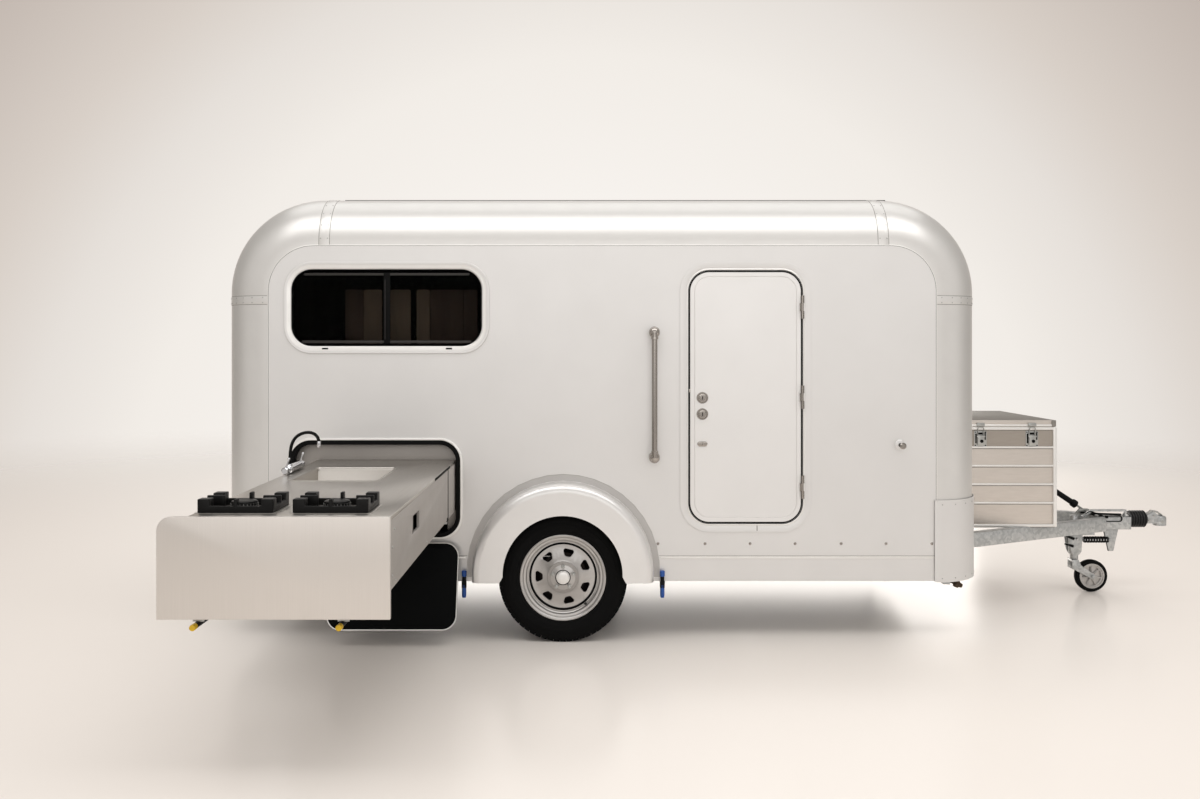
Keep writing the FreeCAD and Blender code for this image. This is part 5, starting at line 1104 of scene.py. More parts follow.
@dataclass
class Kitchen:
    """Slide-out kitchen: opening, drawer, worktop, sink, burners, tap and legs."""

    box_front: float = -0.5613
    top: float = 0.9155
    burner_size: float = 0.272
    burner_depth: float = 0.2
    burner_y: float = -2.62
    sink_low: tuple[float, float] = (-1.1913, -1.76)
    sink_high: tuple[float, float] = (-0.8073, -1.29)
    tap_x: float = -1.267
    tap_y: tuple[float, float] = (-1.58, -1.29)
    spout_y: float = -1.493
    leg_x: tuple[float, float] = (-1.28, -0.757)
    leg_z: float = 0.508

    def build(self) -> None:
        """Build the kitchen's pieces."""
        self.opening()
        self.drawer()
        self.worktop()
        self.burners()
        self.tap()
        self.legs()

    def opening(self) -> None:
        """Trim and hollow rubber seal round the opening, and the runners."""
        refine("kitchen_frame", "kitchen_trim", "trailer", PALE_TRIM_AND_HIGHLIGHT, "silver_metal", 0.0015)
        refine("kitchen_seal", "kitchen_door_seal", "trailer", SEAL, "rubber", 0.0025, 3)
        for node in ("kitchen_runners", "carriage_rails"):
            dress_node(node, PLATED)

    def drawer(self) -> None:
        """Drawer's front, box, the small bolts on its side and black strips of painted shadow."""
        refine("drawer_front", "drawer_front_panel", "kitchen_drawer", STEEL_FRONT, "brushed_steel", 0.0025,
               3)
        Form().copy_of("drawer_box", 0.0012).recolour(
            lambda spot: spot.z < 0.6535 and spot.y < -0.97, 1).dress(
            "drawer_cabinet", "kitchen_drawer", (DRAWER_SIDE, PLATED), "brushed_steel", ["drawer_box"])
        form = Form()
        x = self.box_front + 0.0003
        form.block((x - 0.02, -2.252, 0.7715), (x - 0.0115, -2.172, 0.8385), 0.001, 1)
        form.block((x - 0.03, -2.172, 0.772), (x - 0.022, -2.087, 0.838), 0.0, 2)
        for y, z in ((-2.655, 0.7), (-2.655, 0.8), (-2.6, 0.672), (-2.62, 0.86), (-1.9, 0.672),
                     (-1.2, 0.672)):
            form.rivets([(x, y, z)], (1, 0, 0), 0.005, 0.003, 0, 12)
        # Black strips for the dark gap at the side panel's end and the shadow under the worktop's edge:
        # painted shadow
        form.block((x - 0.004, -1.252, 0.668), (x + 0.0012, -1.236, 0.906), 0.0008, 2)
        form.block((x - 0.004, -1.285, 0.65), (x + 0.0012, -1.236, 0.668), 0.0008, 2)
        form.block((x - 0.004, -1.665, 0.9005), (x + 0.0012, -1.18, 0.9125), 0.0008, 2)
        form.dress("drawer_side_fittings", "kitchen_drawer", (PLATED, DRAWER_SIDE, SEAL), "brushed_steel")

    def worktop(self) -> None:
        """Steel top with its raised lip, sink rim and strainer."""
        refine("worktop", "worktop_and_sink", "kitchen_drawer", STEEL_TOP, "brushed_steel", 0.0015)
        form = Form()
        (x0, y0), (x1, y1) = self.sink_low, self.sink_high
        form.stepped(rounded_outline((x0 - 0.012, y0 - 0.012), (x1 + 0.012, y1 + 0.012), 0.03, 10),
                     Axis.Z, self.top - 0.0004, 1,
                     [(0.0, 0.0012), (0.002, 0.0012), (0.009, 0.0), (0.003, -0.004), (0.001, -0.01)])
        mid = ((x0 + x1) / 2, (y0 + y1) / 2, self.top - 0.158)
        form.turned([(0.0, 0.044), (0.002, 0.043), (0.0022, 0.038), (-0.0005, 0.034), (-0.0005, 0.0)],
                    mid, Axis.Z, 36, 1)
        # Eight dark discs for the strainer's holes: painted shade
        for number in range(8):
            turn = math.radians(45 * number)
            form.rod((mid[0] + 0.02 * math.cos(turn), mid[1] + 0.02 * math.sin(turn), mid[2] - 0.001),
                     (mid[0] + 0.02 * math.cos(turn), mid[1] + 0.02 * math.sin(turn), mid[2] + 0.0004),
                     0.0035, None, 8, 0, 2)
        form.dress("sink_rim_and_strainer", "kitchen_drawer", (STEEL_TOP, CHROME, SEAL), "brushed_steel")

    def burners(self) -> None:
        """Cast pan supports with corner blocks, fingers, crowns and spill rings."""
        refine("burners", "pan_supports", "kitchen_drawer", ENAMEL, "cast_iron", 0.003, 3)
        low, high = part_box("burners")
        form = Form()
        for x in (low.x + self.burner_size / 2 - GROUND.x, high.x - self.burner_size / 2 - GROUND.x):
            centre = (x, self.burner_y + self.burner_depth / 2, self.top)
            form.turned([(0.0, 0.062), (0.003, 0.062), (0.004, 0.058), (0.0035, 0.05)], centre, Axis.Z, 48, 1)
            form.turned([(0.022, 0.047), (0.0295, 0.046), (0.032, 0.041), (0.0325, 0.02), (0.0305, 0.0)],
                        centre, Axis.Z, 48, 0)
            for number in range(24):
                turn = math.radians(15 * number)
                reach = 0.0478
                form.block((-0.0012, -0.002, 0.01), (0.0012, 0.002, 0.023), 0, 1,
                           Matrix.Translation(Vector(centre) + Vector((reach * math.cos(turn),
                                                                       reach * math.sin(turn), 0)))
                           @ Matrix.Rotation(turn + math.pi / 2, 4, "Z"))
            form.stepped(rounded_outline((x - self.burner_size / 2 - 0.012, self.burner_y - 0.012),
                                         (x + self.burner_size / 2 + 0.012,
                                          self.burner_y + self.burner_depth + 0.012), 0.02, 8),
                         Axis.Z, self.top - 0.0004, 1, [(0.0, 0.001), (0.003, 0.0012), (0.006, 0.0),
                                                        (0.003, -0.0012)],
                         [2, 2, 2, 2])
        form.dress("burner_crowns", "kitchen_drawer", (ENAMEL, PLATED, STEEL_TOP), "cast_iron")

    def tap(self) -> None:
        """Mixer bar with two end knobs and a folding swan-neck spout."""
        low, high = self.tap_y
        z = self.top + 0.02
        form = Form()
        form.turned([(0.0, 0.0), (0.0, 0.013), (0.004, 0.0165), (0.046, 0.0165), (0.05, 0.0145),
                     (0.056, 0.0145), (0.06, 0.0195), (0.075, 0.0198), (0.215, 0.0198), (0.23, 0.0195),
                     (0.234, 0.0145), (0.24, 0.0145), (0.244, 0.0165), (0.286, 0.0165), (0.29, 0.013),
                     (0.29, 0.0)], (self.tap_x, low, z), Axis.Y, 36)
        for y in (low + 0.03, high - 0.03):
            form.rod((self.tap_x, y, z + 0.012), (self.tap_x + 0.012, y, z + 0.052), 0.0045, 0.0035, 16,
                     0.001)
            form.ball((self.tap_x + 0.012, y, z + 0.053), 0.0065, (1, 1, 1), 0, 16)
        form.rod((self.tap_x, self.spout_y, z + 0.012), (self.tap_x, self.spout_y, z + 0.024), 0.0125, 0.011,
                 24, 0.001)
        form.dress("sink_mixer", "kitchen_drawer", CHROME, "chrome", ["tap_mixer"])
        spout = Form()
        reach = 0.136
        spout.tube([(self.tap_x, self.spout_y, z + 0.018), (self.tap_x, self.spout_y, z + 0.075),
                    (self.tap_x, self.spout_y, z + 0.178), (self.tap_x + reach, self.spout_y, z + 0.182),
                    (self.tap_x + reach, self.spout_y, z + 0.118)], 0.0075, 0, 6, 4)
        spout.rod((self.tap_x + reach, self.spout_y, z + 0.13),
                  (self.tap_x + reach, self.spout_y, z + 0.1),
                  0.0085, 0.008, 20, 0.001, 1)
        piece = spout.dress("sink_spout", "kitchen_drawer", (BLACK_PLASTIC, CHROME), "chrome", ["tap_spout"])
        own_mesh(piece)

    def legs(self) -> None:
        """Folding legs with yellow end caps."""
        form = Form()
        for x in self.leg_x:
            form.rod((x, -2.628, self.leg_z), (x, -2.2, self.leg_z), 0.0105, None, 24)
            form.rod((x, -2.64, self.leg_z), (x, -2.612, self.leg_z), 0.0115, None, 24, 0.002, 1)
            form.block((x - 0.01, -2.262, self.leg_z - 0.012), (x + 0.01, -2.224, self.leg_z + 0.012),
                       0.002, 2)
            form.block((x - 0.0045, -2.256, self.leg_z + 0.006), (x + 0.0045, -2.23, 0.654), 0.001, 2)
            form.block((x - 0.016, -2.27, 0.65), (x + 0.016, -2.216, 0.6545), 0.0008, 2)
            form.rod((x - 0.012, -2.6, self.leg_z + 0.018), (x + 0.03, -2.6, self.leg_z + 0.018), 0.005,
                     None,
                     12, 0.001, 2)
        piece = form.dress("kitchen_legs", "kitchen_drawer", (BLACK_PLASTIC, YELLOW_PLASTIC, PLATED),
                           "galvanised",
                           ["drawer_legs"])
        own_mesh(piece)


@dataclass
class DropFlap:
    """Side table hanging below the kitchen."""

    rear: float = -1.187
    front: float = -0.534
    drop: float = 0.434
    thick: float = 0.016
    corner: float = 0.072
    pin_y: float = -1.024
    pin_z: float = 0.498
    lean: float = -16.7

    def build(self) -> None:
        """Board with a pale edge line."""
        refine("kitchen_flap", "drop_flap_board", "flap", DARK_BOARD, "dark_board", 0.002)
        form = Form()
        form.stepped(rounded_outline((self.rear - 0.0006, -self.drop - 0.0006), (self.front + 0.0006, 0.0),
                                     self.corner, 16),
                     Axis.Y, -self.thick / 2 + 0.006, -1, [(0.0, 0.0068), (0.0045, 0.0), (0.0005, -0.002)])
        form.turn_by(Matrix.Translation((0, self.pin_y, self.pin_z))
                     @ Matrix.Rotation(math.radians(self.lean), 4, "X"))
        form.dress("drop_flap_edge", "flap", PALE_TRIM_AND_HIGHLIGHT, "silver_metal")


# Running gear


@dataclass
class RoadWheel:
    """Tyre, rim and brake drum of one side."""

    side: str
    way: float
    radius: float = 0.328
    track: float = 1.955
    pitches: int = 62
    groove: float = 0.0085
    nuts: int = 5
    nut_circle: float = 0.056
    tread_rows: tuple[tuple[float, float, float, float], ...] = (
        (-0.0845, -0.05, 0.0, 0.86), (-0.044, -0.003, 0.5, 0.88), (0.003, 0.044, 0.2, 0.88),
        (0.05, 0.0845, 0.7, 0.86))

    @property
    def centre(self) -> tuple[float, float, float]:
        """Middle of the wheel."""
        return (0.0, self.way * self.track / 2, self.radius)

    def build(self) -> None:
        """Build the wheel's pieces."""
        self.tyre()
        self.rim()
        dress_node(f"drum_{self.side}", DRUM_IRON_SHADED)

    def tyre(self) -> None:
        """Carcass with a ribbed sidewall and tread blocks in four rows."""
        form = Form()
        base = self.radius - self.groove
        wall = [(-0.088, 0.2192), (-0.0925, 0.2225), (-0.0955, 0.23), (-0.0952, 0.2335), (-0.0975, 0.236),
                (-0.1, 0.244), (-0.1018, 0.252), (-0.1018, 0.2545), (-0.1025, 0.256), (-0.1025, 0.274),
                (-0.1012, 0.276), (-0.1008, 0.285), (-0.0985, 0.296), (-0.095, 0.306), (-0.0895, 0.314),
                (-0.082, base)]
        tread = [(-0.05, base), (-0.047, base - 0.001), (0.047, base - 0.001), (0.05, base)]
        profile = wall + tread + [(-run, reach) for run, reach in reversed(wall)]
        form.turned(profile, self.centre, Axis.Y, 124)
        for number in range(self.pitches):
            angle = 2 * math.pi * number / self.pitches
            for low, high, lag, share in self.tread_rows:
                turn = angle + lag * 2 * math.pi / self.pitches
                half = math.pi * self.radius / self.pitches * share
                place = (Matrix.Translation(self.centre) @ Matrix.Rotation(turn, 4, "Y")
                         @ Matrix.Translation((0, 0, base - 0.003)))
                form.block((-half, low, 0.0), (half, high, self.groove + 0.0028), 0, 0, place)
            place = Matrix.Translation(self.centre) @ Matrix.Rotation(angle, 4, "Y")
            half = math.pi * self.radius / self.pitches * 0.62
            for side in (-1, 1):
                low, high = sorted((side * 0.0815, side * 0.0935))
                form.block((-half, low, 0.3085), (half, high, 0.3165), 0.0015, 0, place, 1)
        form.dress(f"road_tyre_{self.side}", f"wheel_{self.side}", TYRE, "tyre", [f"tyre_{self.side}"], 30.0)

    def rim(self) -> None:
        """Pressed steel disc with seven windows, stepped bed, nuts, cap and valve; its dark groove rings are
        painted shade.
        """
        disc = Form().copy_of(f"rim_{self.side}", 0.0012, 0, 40.0)
        mid = Vector(self.centre)
        # Faces of the groove ring take the dark iron finish as painted shade
        disc.recolour(lambda spot: 0.18 < math.hypot(spot.x - mid.x, spot.z - mid.z) < 0.1975
                      and (spot.y - mid.y) * self.way < 0.046, 1)
        disc.dress(f"wheel_disc_{self.side}", f"wheel_{self.side}", (WHEEL_PAINT, DRUM_IRON_SHADED),
                   "silver_metal", [f"rim_{self.side}"])
        # Brake backing plate drawn wider and dark: painted shade seen through the wheel's windows
        shade_disc = Form().turned(self.signed([(0.03, 0.06), (0.026, 0.062), (0.026, 0.16), (0.02, 0.17),
                                            (0.03, 0.171), (0.032, 0.16), (0.032, 0.06)]),
                               self.centre, Axis.Y, 64)
        shade_disc.dress(f"painted_shade_disc_{self.side}", "trailer", DRUM_IRON_SHADED, "cast_iron")
        form = Form()
        form.turned(self.signed([(-0.0535, 0.1735), (-0.056, 0.1745), (-0.056, 0.1785), (-0.061, 0.18),
                                 (-0.064, 0.186), (-0.067, 0.188), (-0.0775, 0.19), (-0.08, 0.195),
                                 (-0.0805, 0.201), (-0.088, 0.204), (-0.0925, 0.209), (-0.0935, 0.215),
                                 (-0.0915, 0.2185)]), self.centre, Axis.Y, 96)
        # Black ring inside the bed: painted shade of the groove
        form.turned(self.signed([(-0.0535, 0.1632), (-0.0574, 0.1642), (-0.0578, 0.1742), (-0.054, 0.1752)]),
                    self.centre, Axis.Y, 96, 2)
        form.turned(self.signed([(-0.0785, 0.04), (-0.0812, 0.041), (-0.0812, 0.078), (-0.0806, 0.08),
                                 (-0.0785, 0.081)]), self.centre, Axis.Y, 64, 4)
        form.turned(self.signed([(-0.08, 0.035), (-0.086, 0.035), (-0.087, 0.0325), (-0.0985, 0.0315),
                                 (-0.1, 0.029), (-0.1005, 0.0)]), self.centre, Axis.Y, 40, 3)
        form.turned(self.signed([(-0.0795, 0.0395), (-0.085, 0.0395), (-0.085, 0.0345)]),
                    self.centre, Axis.Y, 40, 2)
        for number in range(self.nuts):
            turn = math.radians(90 + 360 * number / self.nuts)
            spot = Vector(self.centre) + Vector((self.nut_circle * math.cos(turn), 0,
                                                 self.nut_circle * math.sin(turn)))
            start = spot + Vector((0, self.way * 0.078, 0))
            form.bolt(start, spot + Vector((0, self.way * 0.096, 0)), 0.0105, 1)
            form.rod(spot + Vector((0, self.way * 0.094, 0)), spot + Vector((0, self.way * 0.0995, 0)),
                     0.0075,
                     0.0055, 12, 0.0005, 1)
        turn = math.radians(-50)
        spot = Vector(self.centre) + Vector((0.182 * math.cos(turn), self.way * 0.06, 0.182 * math.sin(turn)))
        form.rod(spot, spot + Vector((-0.01 * math.cos(turn), self.way * 0.034, -0.01 * math.sin(turn))),
                 0.0048, 0.0042, 12, 0.0005, 2)
        form.dress(f"wheel_trim_{self.side}", f"wheel_{self.side}", (WHEEL_PAINT, PLATED, SEAL, PALE_TRIM_AND_HIGHLIGHT,
                                                                       HUB_PAINT), "silver_metal")

    def signed(self, profile: Sequence[Point]) -> list[tuple[float, float]]:
        """Profile drawn for the right wheel, turned over for the left one."""
        return [(run * -self.way, reach) for run, reach in profile]


@dataclass
class Underframe:
    """Axle, chassis, floor, steadies and fenders."""

    shown_as_zinc: tuple[str, ...] = ("axle", "chassis", "steady_front_right", "steady_front_left",
                                      "steady_rear_right", "steady_rear_left")
    arch_z: float = 0.35
    arch_bulge: float = 0.462
    arch_reach: float = 0.5

    def build(self) -> None:
        """Dress the frame and finish the fenders."""
        for node in self.shown_as_zinc:
            dress_node(node, ZINC)
        dress_node("floor", FLOOR_BOARD)
        dress_node("fenders", FENDER_SHEET)
        Form().band(Axis.Y, (0.0, 0.0, self.arch_z), self.arch_bulge + 0.003,
                    self.arch_reach - self.arch_bulge - 0.0035,
                    (-SIDE - 0.0052, -SIDE - 0.003), (176, 364)).both_sides().dress(
            "arch_flange_bands", "trailer", FLANGE_SHEET, "silver_metal")


# Drawbar and coupling


@dataclass
class Drawbar:
    """Drawbar, coupling, hand brake and jockey wheel."""

    front: float = 3.25
    housing: float = 3.433
    reach: float = 3.63
    axis_z: float = 0.446
    jockey_x: float = 3.106
    hub_x: float = 3.208
    hub_z: float = 0.098
    crank_x: float = 3.346
    crank_z: float = 0.318
    lever_y: float = 0.07

    def build(self) -> None:
        """Build every piece of the front end."""
        refine("drawbar", "drawbar_frame", "trailer", ZINC, "galvanised", 0.003, 3)
        self.bellows()
        self.coupling()
        self.hand_brake()
        self.jockey()
        dress_node("safety_line", SEAL)

    def bellows(self) -> None:
        """Rubber bellows with six soft folds."""
        profile = [(0.0, 0.03), (0.0, 0.045), (0.006, 0.047)]
        for number in range(6):
            low = 0.008 + number * 0.0158
            profile += [(low, 0.0405), (low + 0.003, 0.042), (low + 0.0062, 0.0505), (low + 0.008, 0.0518),
                        (low + 0.0098, 0.0505), (low + 0.013, 0.042)]
        profile += [(0.104, 0.0385), (0.108, 0.037), (0.108, 0.026)]
        Form().turned(profile, (self.housing, 0, self.axis_z), Axis.X, 48).dress(
            "coupling_bellows", "trailer", BELLOWS, "rubber", ["bellows"])

    def coupling(self) -> None:
        """Cast ball head with its neck, latch handle, cross bolts and nose."""
        form = Form()
        form.copy_of("coupling_head", 0.004, 0, 30.0, 3)
        x, z = self.reach, self.axis_z
        form.rod((self.housing + 0.104, 0, z), (x - 0.09, 0, z), 0.0265, 0.0255, 28, 0.002)
        form.ball((x + 0.004, 0, 0.4555), 0.03, (1.1, 1.05, 0.42))
        form.plate([(x - 0.082, 0.47), (x - 0.05, 0.5), (x - 0.018, 0.494), (x + 0.012, 0.474),
                    (x + 0.012, 0.467), (x - 0.02, 0.484), (x - 0.048, 0.489), (x - 0.074, 0.464)],
                   Axis.Y, -0.014, 0.014, 0.002, 1)
        form.bolt((x - 0.048, -0.035, 0.472), (x - 0.048, 0.035, 0.472), 0.0075, 1)
        form.bolt((x - 0.076, -0.033, z - 0.004), (x - 0.076, 0.033, z - 0.004), 0.0085, 1)
        form.rod((x - 0.002, -0.04, 0.434), (x - 0.002, 0.04, 0.434), 0.01, None, 20, 0.001, 1)
        form.dress("ball_coupling", "trailer", (ZINC, PLATED), "galvanised", ["coupling_head"])

    def hand_brake(self) -> None:
        """Lever with a thick tapered grip, a short rod, its bracket and the pull strap."""
        form = Form()
        y = self.lever_y
        pivot = Vector((self.front - 0.05, y, 0.488))
        tip = Vector((self.front - 0.262, y, 0.628))
        line = tip - pivot
        form.rod(pivot, pivot + line * 0.3, 0.0065, None, 16, 0, 1)
        form.rod(pivot + line * 0.235, tip, 0.0175, 0.016, 28, 0.005, 0)
        form.rod(pivot + line * 0.88, tip, 0.0175, 0.0225, 28, 0.003, 0)
        for share in (0.4, 0.48, 0.56, 0.64, 0.72, 0.8, 0.88):
            spot = pivot + line * share
            reach = 0.0182 - 0.0032 * share
            form.rod(spot, spot + line * 0.035, reach, reach - 0.0005, 28, 0.0008, 0)
        form.rod(pivot + line * 0.225, pivot + line * 0.36, 0.0245, 0.0235, 28, 0.007, 0)
        for offset in (-0.012, 0.008):
            form.plate([(self.front - 0.102, 0.466), (self.front - 0.001, 0.466), (self.front - 0.022, 0.496),
                        (self.front - 0.078, 0.496)], Axis.Y, y + offset, y + offset + 0.004, 0.001, 1)
        form.bolt((pivot.x, y - 0.016, pivot.z), (pivot.x, y + 0.016, pivot.z), 0.007, 1)
        form.dress("hand_brake_lever", "trailer", (BLACK_PLASTIC, PLATED), "galvanised", ["handbrake"])
        strap = Form()
        strap.plate([(3.146, 0.464), (3.203, 0.506), (3.412, 0.506), (3.412, 0.464), (3.401, 0.464),
                     (3.401, 0.495), (3.208, 0.495), (3.16, 0.464)], Axis.Y, -0.034, -0.006, 0.001, 2)
        strap.tube([(3.16, 0.03, 0.478), (3.2, 0.02, 0.48), (3.26, 0.012, 0.474), (3.33, 0.01, 0.472),
                    (3.4, 0.01, 0.47)], 0.006, 1, 4)
        strap.tube([(3.165, -0.02, 0.474), (3.185, -0.03, 0.498), (3.215, -0.036, 0.488),
                    (3.245, -0.04, 0.476),
                    (3.262, -0.044, 0.47)], 0.0045, 1, 4)
        strap.bolt((3.212, -0.032, 0.478), (3.212, 0.004, 0.478), 0.009, 1)
        strap.bolt((3.3, -0.03, 0.4985), (3.3, 0.0, 0.4985), 0.006, 1)
        strap.dress("brake_pull_strap", "trailer", (PLATED, SEAL, ZINC), "galvanised")

    def jockey(self) -> None:
        """Jockey wheel with its clamp plates, leg, fork, wheel and folded crank."""
        form = Form().copy_of("jockey_clamp", 0.0015)
        form.recolour(lambda spot: abs(spot.y) < 0.017 and 3.15 < spot.x < 3.3149 and 0.29 < spot.z < 0.34, 1)
        for y in (-0.036, 0.031):
            form.plate([(self.jockey_x - 0.052, 0.386), (self.jockey_x + 0.04, 0.386),
                        (self.jockey_x + 0.03, 0.25), (self.jockey_x + 0.016, 0.232),
                        (self.jockey_x - 0.022, 0.232), (self.jockey_x - 0.034, 0.256)],
                       Axis.Y, y, y + 0.005, 0.001)
        for number in range(9):
            x = self.crank_x - 0.178 + number * 0.0165
            form.turned([(0.0, 0.0175), (0.002, 0.0198), (0.01, 0.0198), (0.012, 0.0175)],
                        (x, 0.0, self.crank_z), Axis.X, 24, 1)
        x = self.crank_x - 0.018
        form.bolt((x, -0.01, self.crank_z), (x, 0.01, self.crank_z), 0.01)
        form.rod((self.jockey_x - 0.075, -0.045, 0.352), (self.jockey_x - 0.02, -0.045, 0.33), 0.006, 0.009,
                 16, 0.002, 1)
        form.rod((self.jockey_x - 0.078, -0.045, 0.3), (self.jockey_x - 0.024, -0.045, 0.285), 0.005, 0.008,
                 16, 0.002, 1)
        form.rod((self.jockey_x, -0.05, 0.33), (self.jockey_x, 0.034, 0.33), 0.006, None, 12, 0.001)
        form.dress("jockey_clamp_and_crank", "trailer", (ZINC, BLACK_PLASTIC), "galvanised", ["jockey_clamp"])
        refine("jockey_leg", "jockey_leg_tube", "jockey_post", ZINC, "galvanised", 0.0015)
        fork = Form().copy_of("jockey_fork", 0.0015)
        for way in (-1, 1):
            fork.bolt((self.hub_x, way * 0.034, self.hub_z), (self.hub_x, way * 0.042, self.hub_z), 0.01)
        fork.dress("jockey_wheel_fork", "jockey_swivel", ZINC, "galvanised", ["jockey_fork"])
        wheel = Form()
        centre = (self.hub_x, 0.0, self.hub_z)
        wheel.turned([(-0.018, 0.0735), (-0.0205, 0.076), (-0.022, 0.084), (-0.019, 0.093), (-0.012, 0.0972),
                      (0.0, 0.098), (0.012, 0.0972), (0.019, 0.093), (0.022, 0.084), (0.0205, 0.076),
                      (0.018, 0.0735), (-0.018, 0.0735)], centre, Axis.Y, 64)
        wheel.turned([(-0.021, 0.0755), (-0.0205, 0.069), (-0.016, 0.066), (-0.015, 0.06), (0.015, 0.06),
                      (0.016, 0.066), (0.0205, 0.069), (0.021, 0.0755), (-0.021,
                                                                         0.0755)], centre, Axis.Y, 64, 1)
        wheel.turned([(-0.022, 0.0062), (-0.022, 0.014), (-0.02, 0.019), (-0.016, 0.0205), (0.016, 0.0205),
                      (0.02, 0.019), (0.022, 0.014), (0.022, 0.0062), (-0.022,
                                                                        0.0062)], centre, Axis.Y, 32, 1)
        for number in range(7):
            place = Matrix.Translation(centre) @ Matrix.Rotation(2 * math.pi * number / 7, 4, "Y")
            wheel.block((-0.006, -0.014, 0.018), (0.006, 0.014, 0.062), 0.002, 1, place)
            wheel.block((-0.0015, -0.018, 0.018), (0.0015, 0.018, 0.062), 0.0005, 1, place)
        wheel.turned([(-0.002, 0.018), (-0.002, 0.062), (0.002, 0.062), (0.002, 0.018), (-0.002, 0.018)],
                     centre, Axis.Y, 48, 1)
        wheel.dress("jockey_tyre_and_hub", "jockey_roller", (TYRE, WHEEL_PAINT), "tyre", ["jockey_wheel"])


@dataclass
class StorageBox:
    """Ribbed aluminium chest on the drawbar with its lid and toggle latches."""

    rear: float = 2.205
    front: float = 2.81
    half: float = 0.4
    foot: float = 0.468
    rim: float = 1.043
    top: float = 1.081
    ribs: tuple[float, ...] = (0.606, 0.7125, 0.819, 0.925)
    latches: tuple[float, ...] = (2.38, 2.676)

    def build(self) -> None:
        """Build chest, lid and latches."""
        refine("storage_box", "storage_chest", "trailer", BOX_SHEET, "aluminium", 0.0025, 3)
        lid = Form().copy_of("box_lid", 0.0025, 0, 30.0, 3)
        # The lid's upper faces take the darker top finish: painted shade
        lid.recolour(lambda spot: spot.z > self.top - 0.0005, 1)
        self.flank(lid, (self.rear, self.front), 0.0035, (self.rim + 0.002, self.rim + 0.014), 0.0015, 2)
        lid.block((self.front - 0.001, -self.half, self.rim + 0.002),
                  (self.front + 0.0035, self.half, self.rim + 0.014), 0.0015, 2)
        for y in (-self.half, self.half):
            lid.block((self.front - 0.02, y - 0.0055, self.rim + 0.001),
                      (self.front + 0.0055, y + 0.0055, self.top),
                      0.004, 1, None, 3)
        lid.dress("storage_lid", "lid", (BOX_SHEET, BOX_TOP_SHADED, PALE_TRIM_AND_HIGHLIGHT), "aluminium", ["box_lid"])
        self.relief()
        self.toggles()

    def flank(self, form: Form, ends: Point, out: float, levels: Point, round_by: float = 0.0,
              finish: int = 0, steps: int = 2) -> None:
        """Strip on both side faces of the chest, between two ends and two levels."""
        for way in (-1, 1):
            low, high = sorted((way * (self.half - 0.001), way * (self.half + out)))
            form.block((ends[0], low, levels[0]), (ends[1], high, levels[1]), round_by, finish, None, steps)

    def relief(self) -> None:
        """Rolled ribs, foot and rim bands and rounded corner posts."""
        form = Form()
        ends = (self.rear + 0.003, self.front - 0.002)
        for level in (*self.ribs, self.foot + 0.008, self.rim - 0.01):
            tall = 0.0055 if level in self.ribs else 0.0075
            # Paler trim finish on the ribs: painted highlight
            self.flank(form, ends, 0.0075, (level - tall, level + tall), 0.0032, 0, 3)
            # Thin grey strip under each rib: painted shadow
            self.flank(form, ends, 0.0012, (level - tall - 0.0045, level - tall + 0.001), 0, 1)
            form.block((self.front - 0.001, -self.half, level - tall),
                       (self.front + 0.0075, self.half, level + tall), 0.0032, 0, None, 3)
        # Darker band between the top rib and the rim: painted shade
        self.flank(form, (self.rear + 0.003, self.front - 0.012), 0.0008,
                   (self.ribs[-1] + 0.006, self.rim - 0.018), 0, 2)
        for y in (-self.half, self.half):
            form.block((self.front - 0.013, y - 0.0085, self.foot),
                       (self.front + 0.0085, y + 0.0085, self.rim - 0.001), 0.004, 0, None, 3)
        form.dress("chest_ribs", "trailer", (PALE_TRIM_AND_HIGHLIGHT, SHADOW_LINE_GREY, BOX_BAND_SHADED), "aluminium")

    def toggles(self) -> None:
        """Two lever latches with their keepers on the lid."""
        form, keepers = Form(), Form()
        face = -self.half - 0.0005
        for x in self.latches:
            form.plate(rounded_outline((x - 0.036, 0.928), (x + 0.036, 1.02), 0.008, 6), Axis.Y,
                       face - 0.003,
                       face + 0.001, 0.001)
            form.plate(rounded_outline((x - 0.02, 0.936), (x + 0.02, 0.99), 0.006, 6), Axis.Y,
                       face - 0.013,
                       face - 0.007, 0.002)
            form.rod((x - 0.024, face - 0.008, 0.988), (x + 0.024, face - 0.008, 0.988), 0.0055, None, 16,
                     0.001)
            form.tube([(x - 0.018, face - 0.009, 0.985), (x - 0.018, face - 0.01, 1.03),
                       (x - 0.014, face - 0.011, 1.04), (x + 0.014, face - 0.011, 1.04),
                       (x + 0.018, face - 0.01, 1.03), (x + 0.018, face - 0.009, 0.985)], 0.0024, 0, 3)
            form.turned([(-0.002, 0.01), (-0.016, 0.0095), (-0.0175, 0.008), (-0.0175, 0.0)],
                        (x + 0.004, face, 0.961), Axis.Y, 20, 1)
            form.block((x - 0.03, face - 0.0045, 0.948), (x - 0.022, face - 0.002, 1.004), 0.001, 1)
            form.block((x + 0.024, face - 0.0045, 0.968), (x + 0.031, face - 0.002, 1.01), 0.001, 1)
            form.block((x - 0.014, face - 0.0045, 0.998), (x + 0.012, face - 0.002, 1.01), 0.001, 1)
            for dx, dz in ((-0.029, 0.936), (0.029, 0.936), (-0.029, 1.012), (0.029, 1.012)):
                form.rivets([(x + dx, face - 0.003, dz)], (0, -1, 0), 0.004, 0.002, 1)
            keepers.block((x - 0.022, face - 0.0105, 1.052), (x + 0.022, face + 0.001, 1.066), 0.002)
            keepers.block((x - 0.022, face - 0.0125, 1.046), (x + 0.022, face - 0.0085, 1.058), 0.0015)
        form.dress("toggle_latches", "trailer", (PLATED, SEAL), "galvanised")
        keepers.dress("latch_keepers", "lid", PLATED, "galvanised")


# Roof, rear and cabin


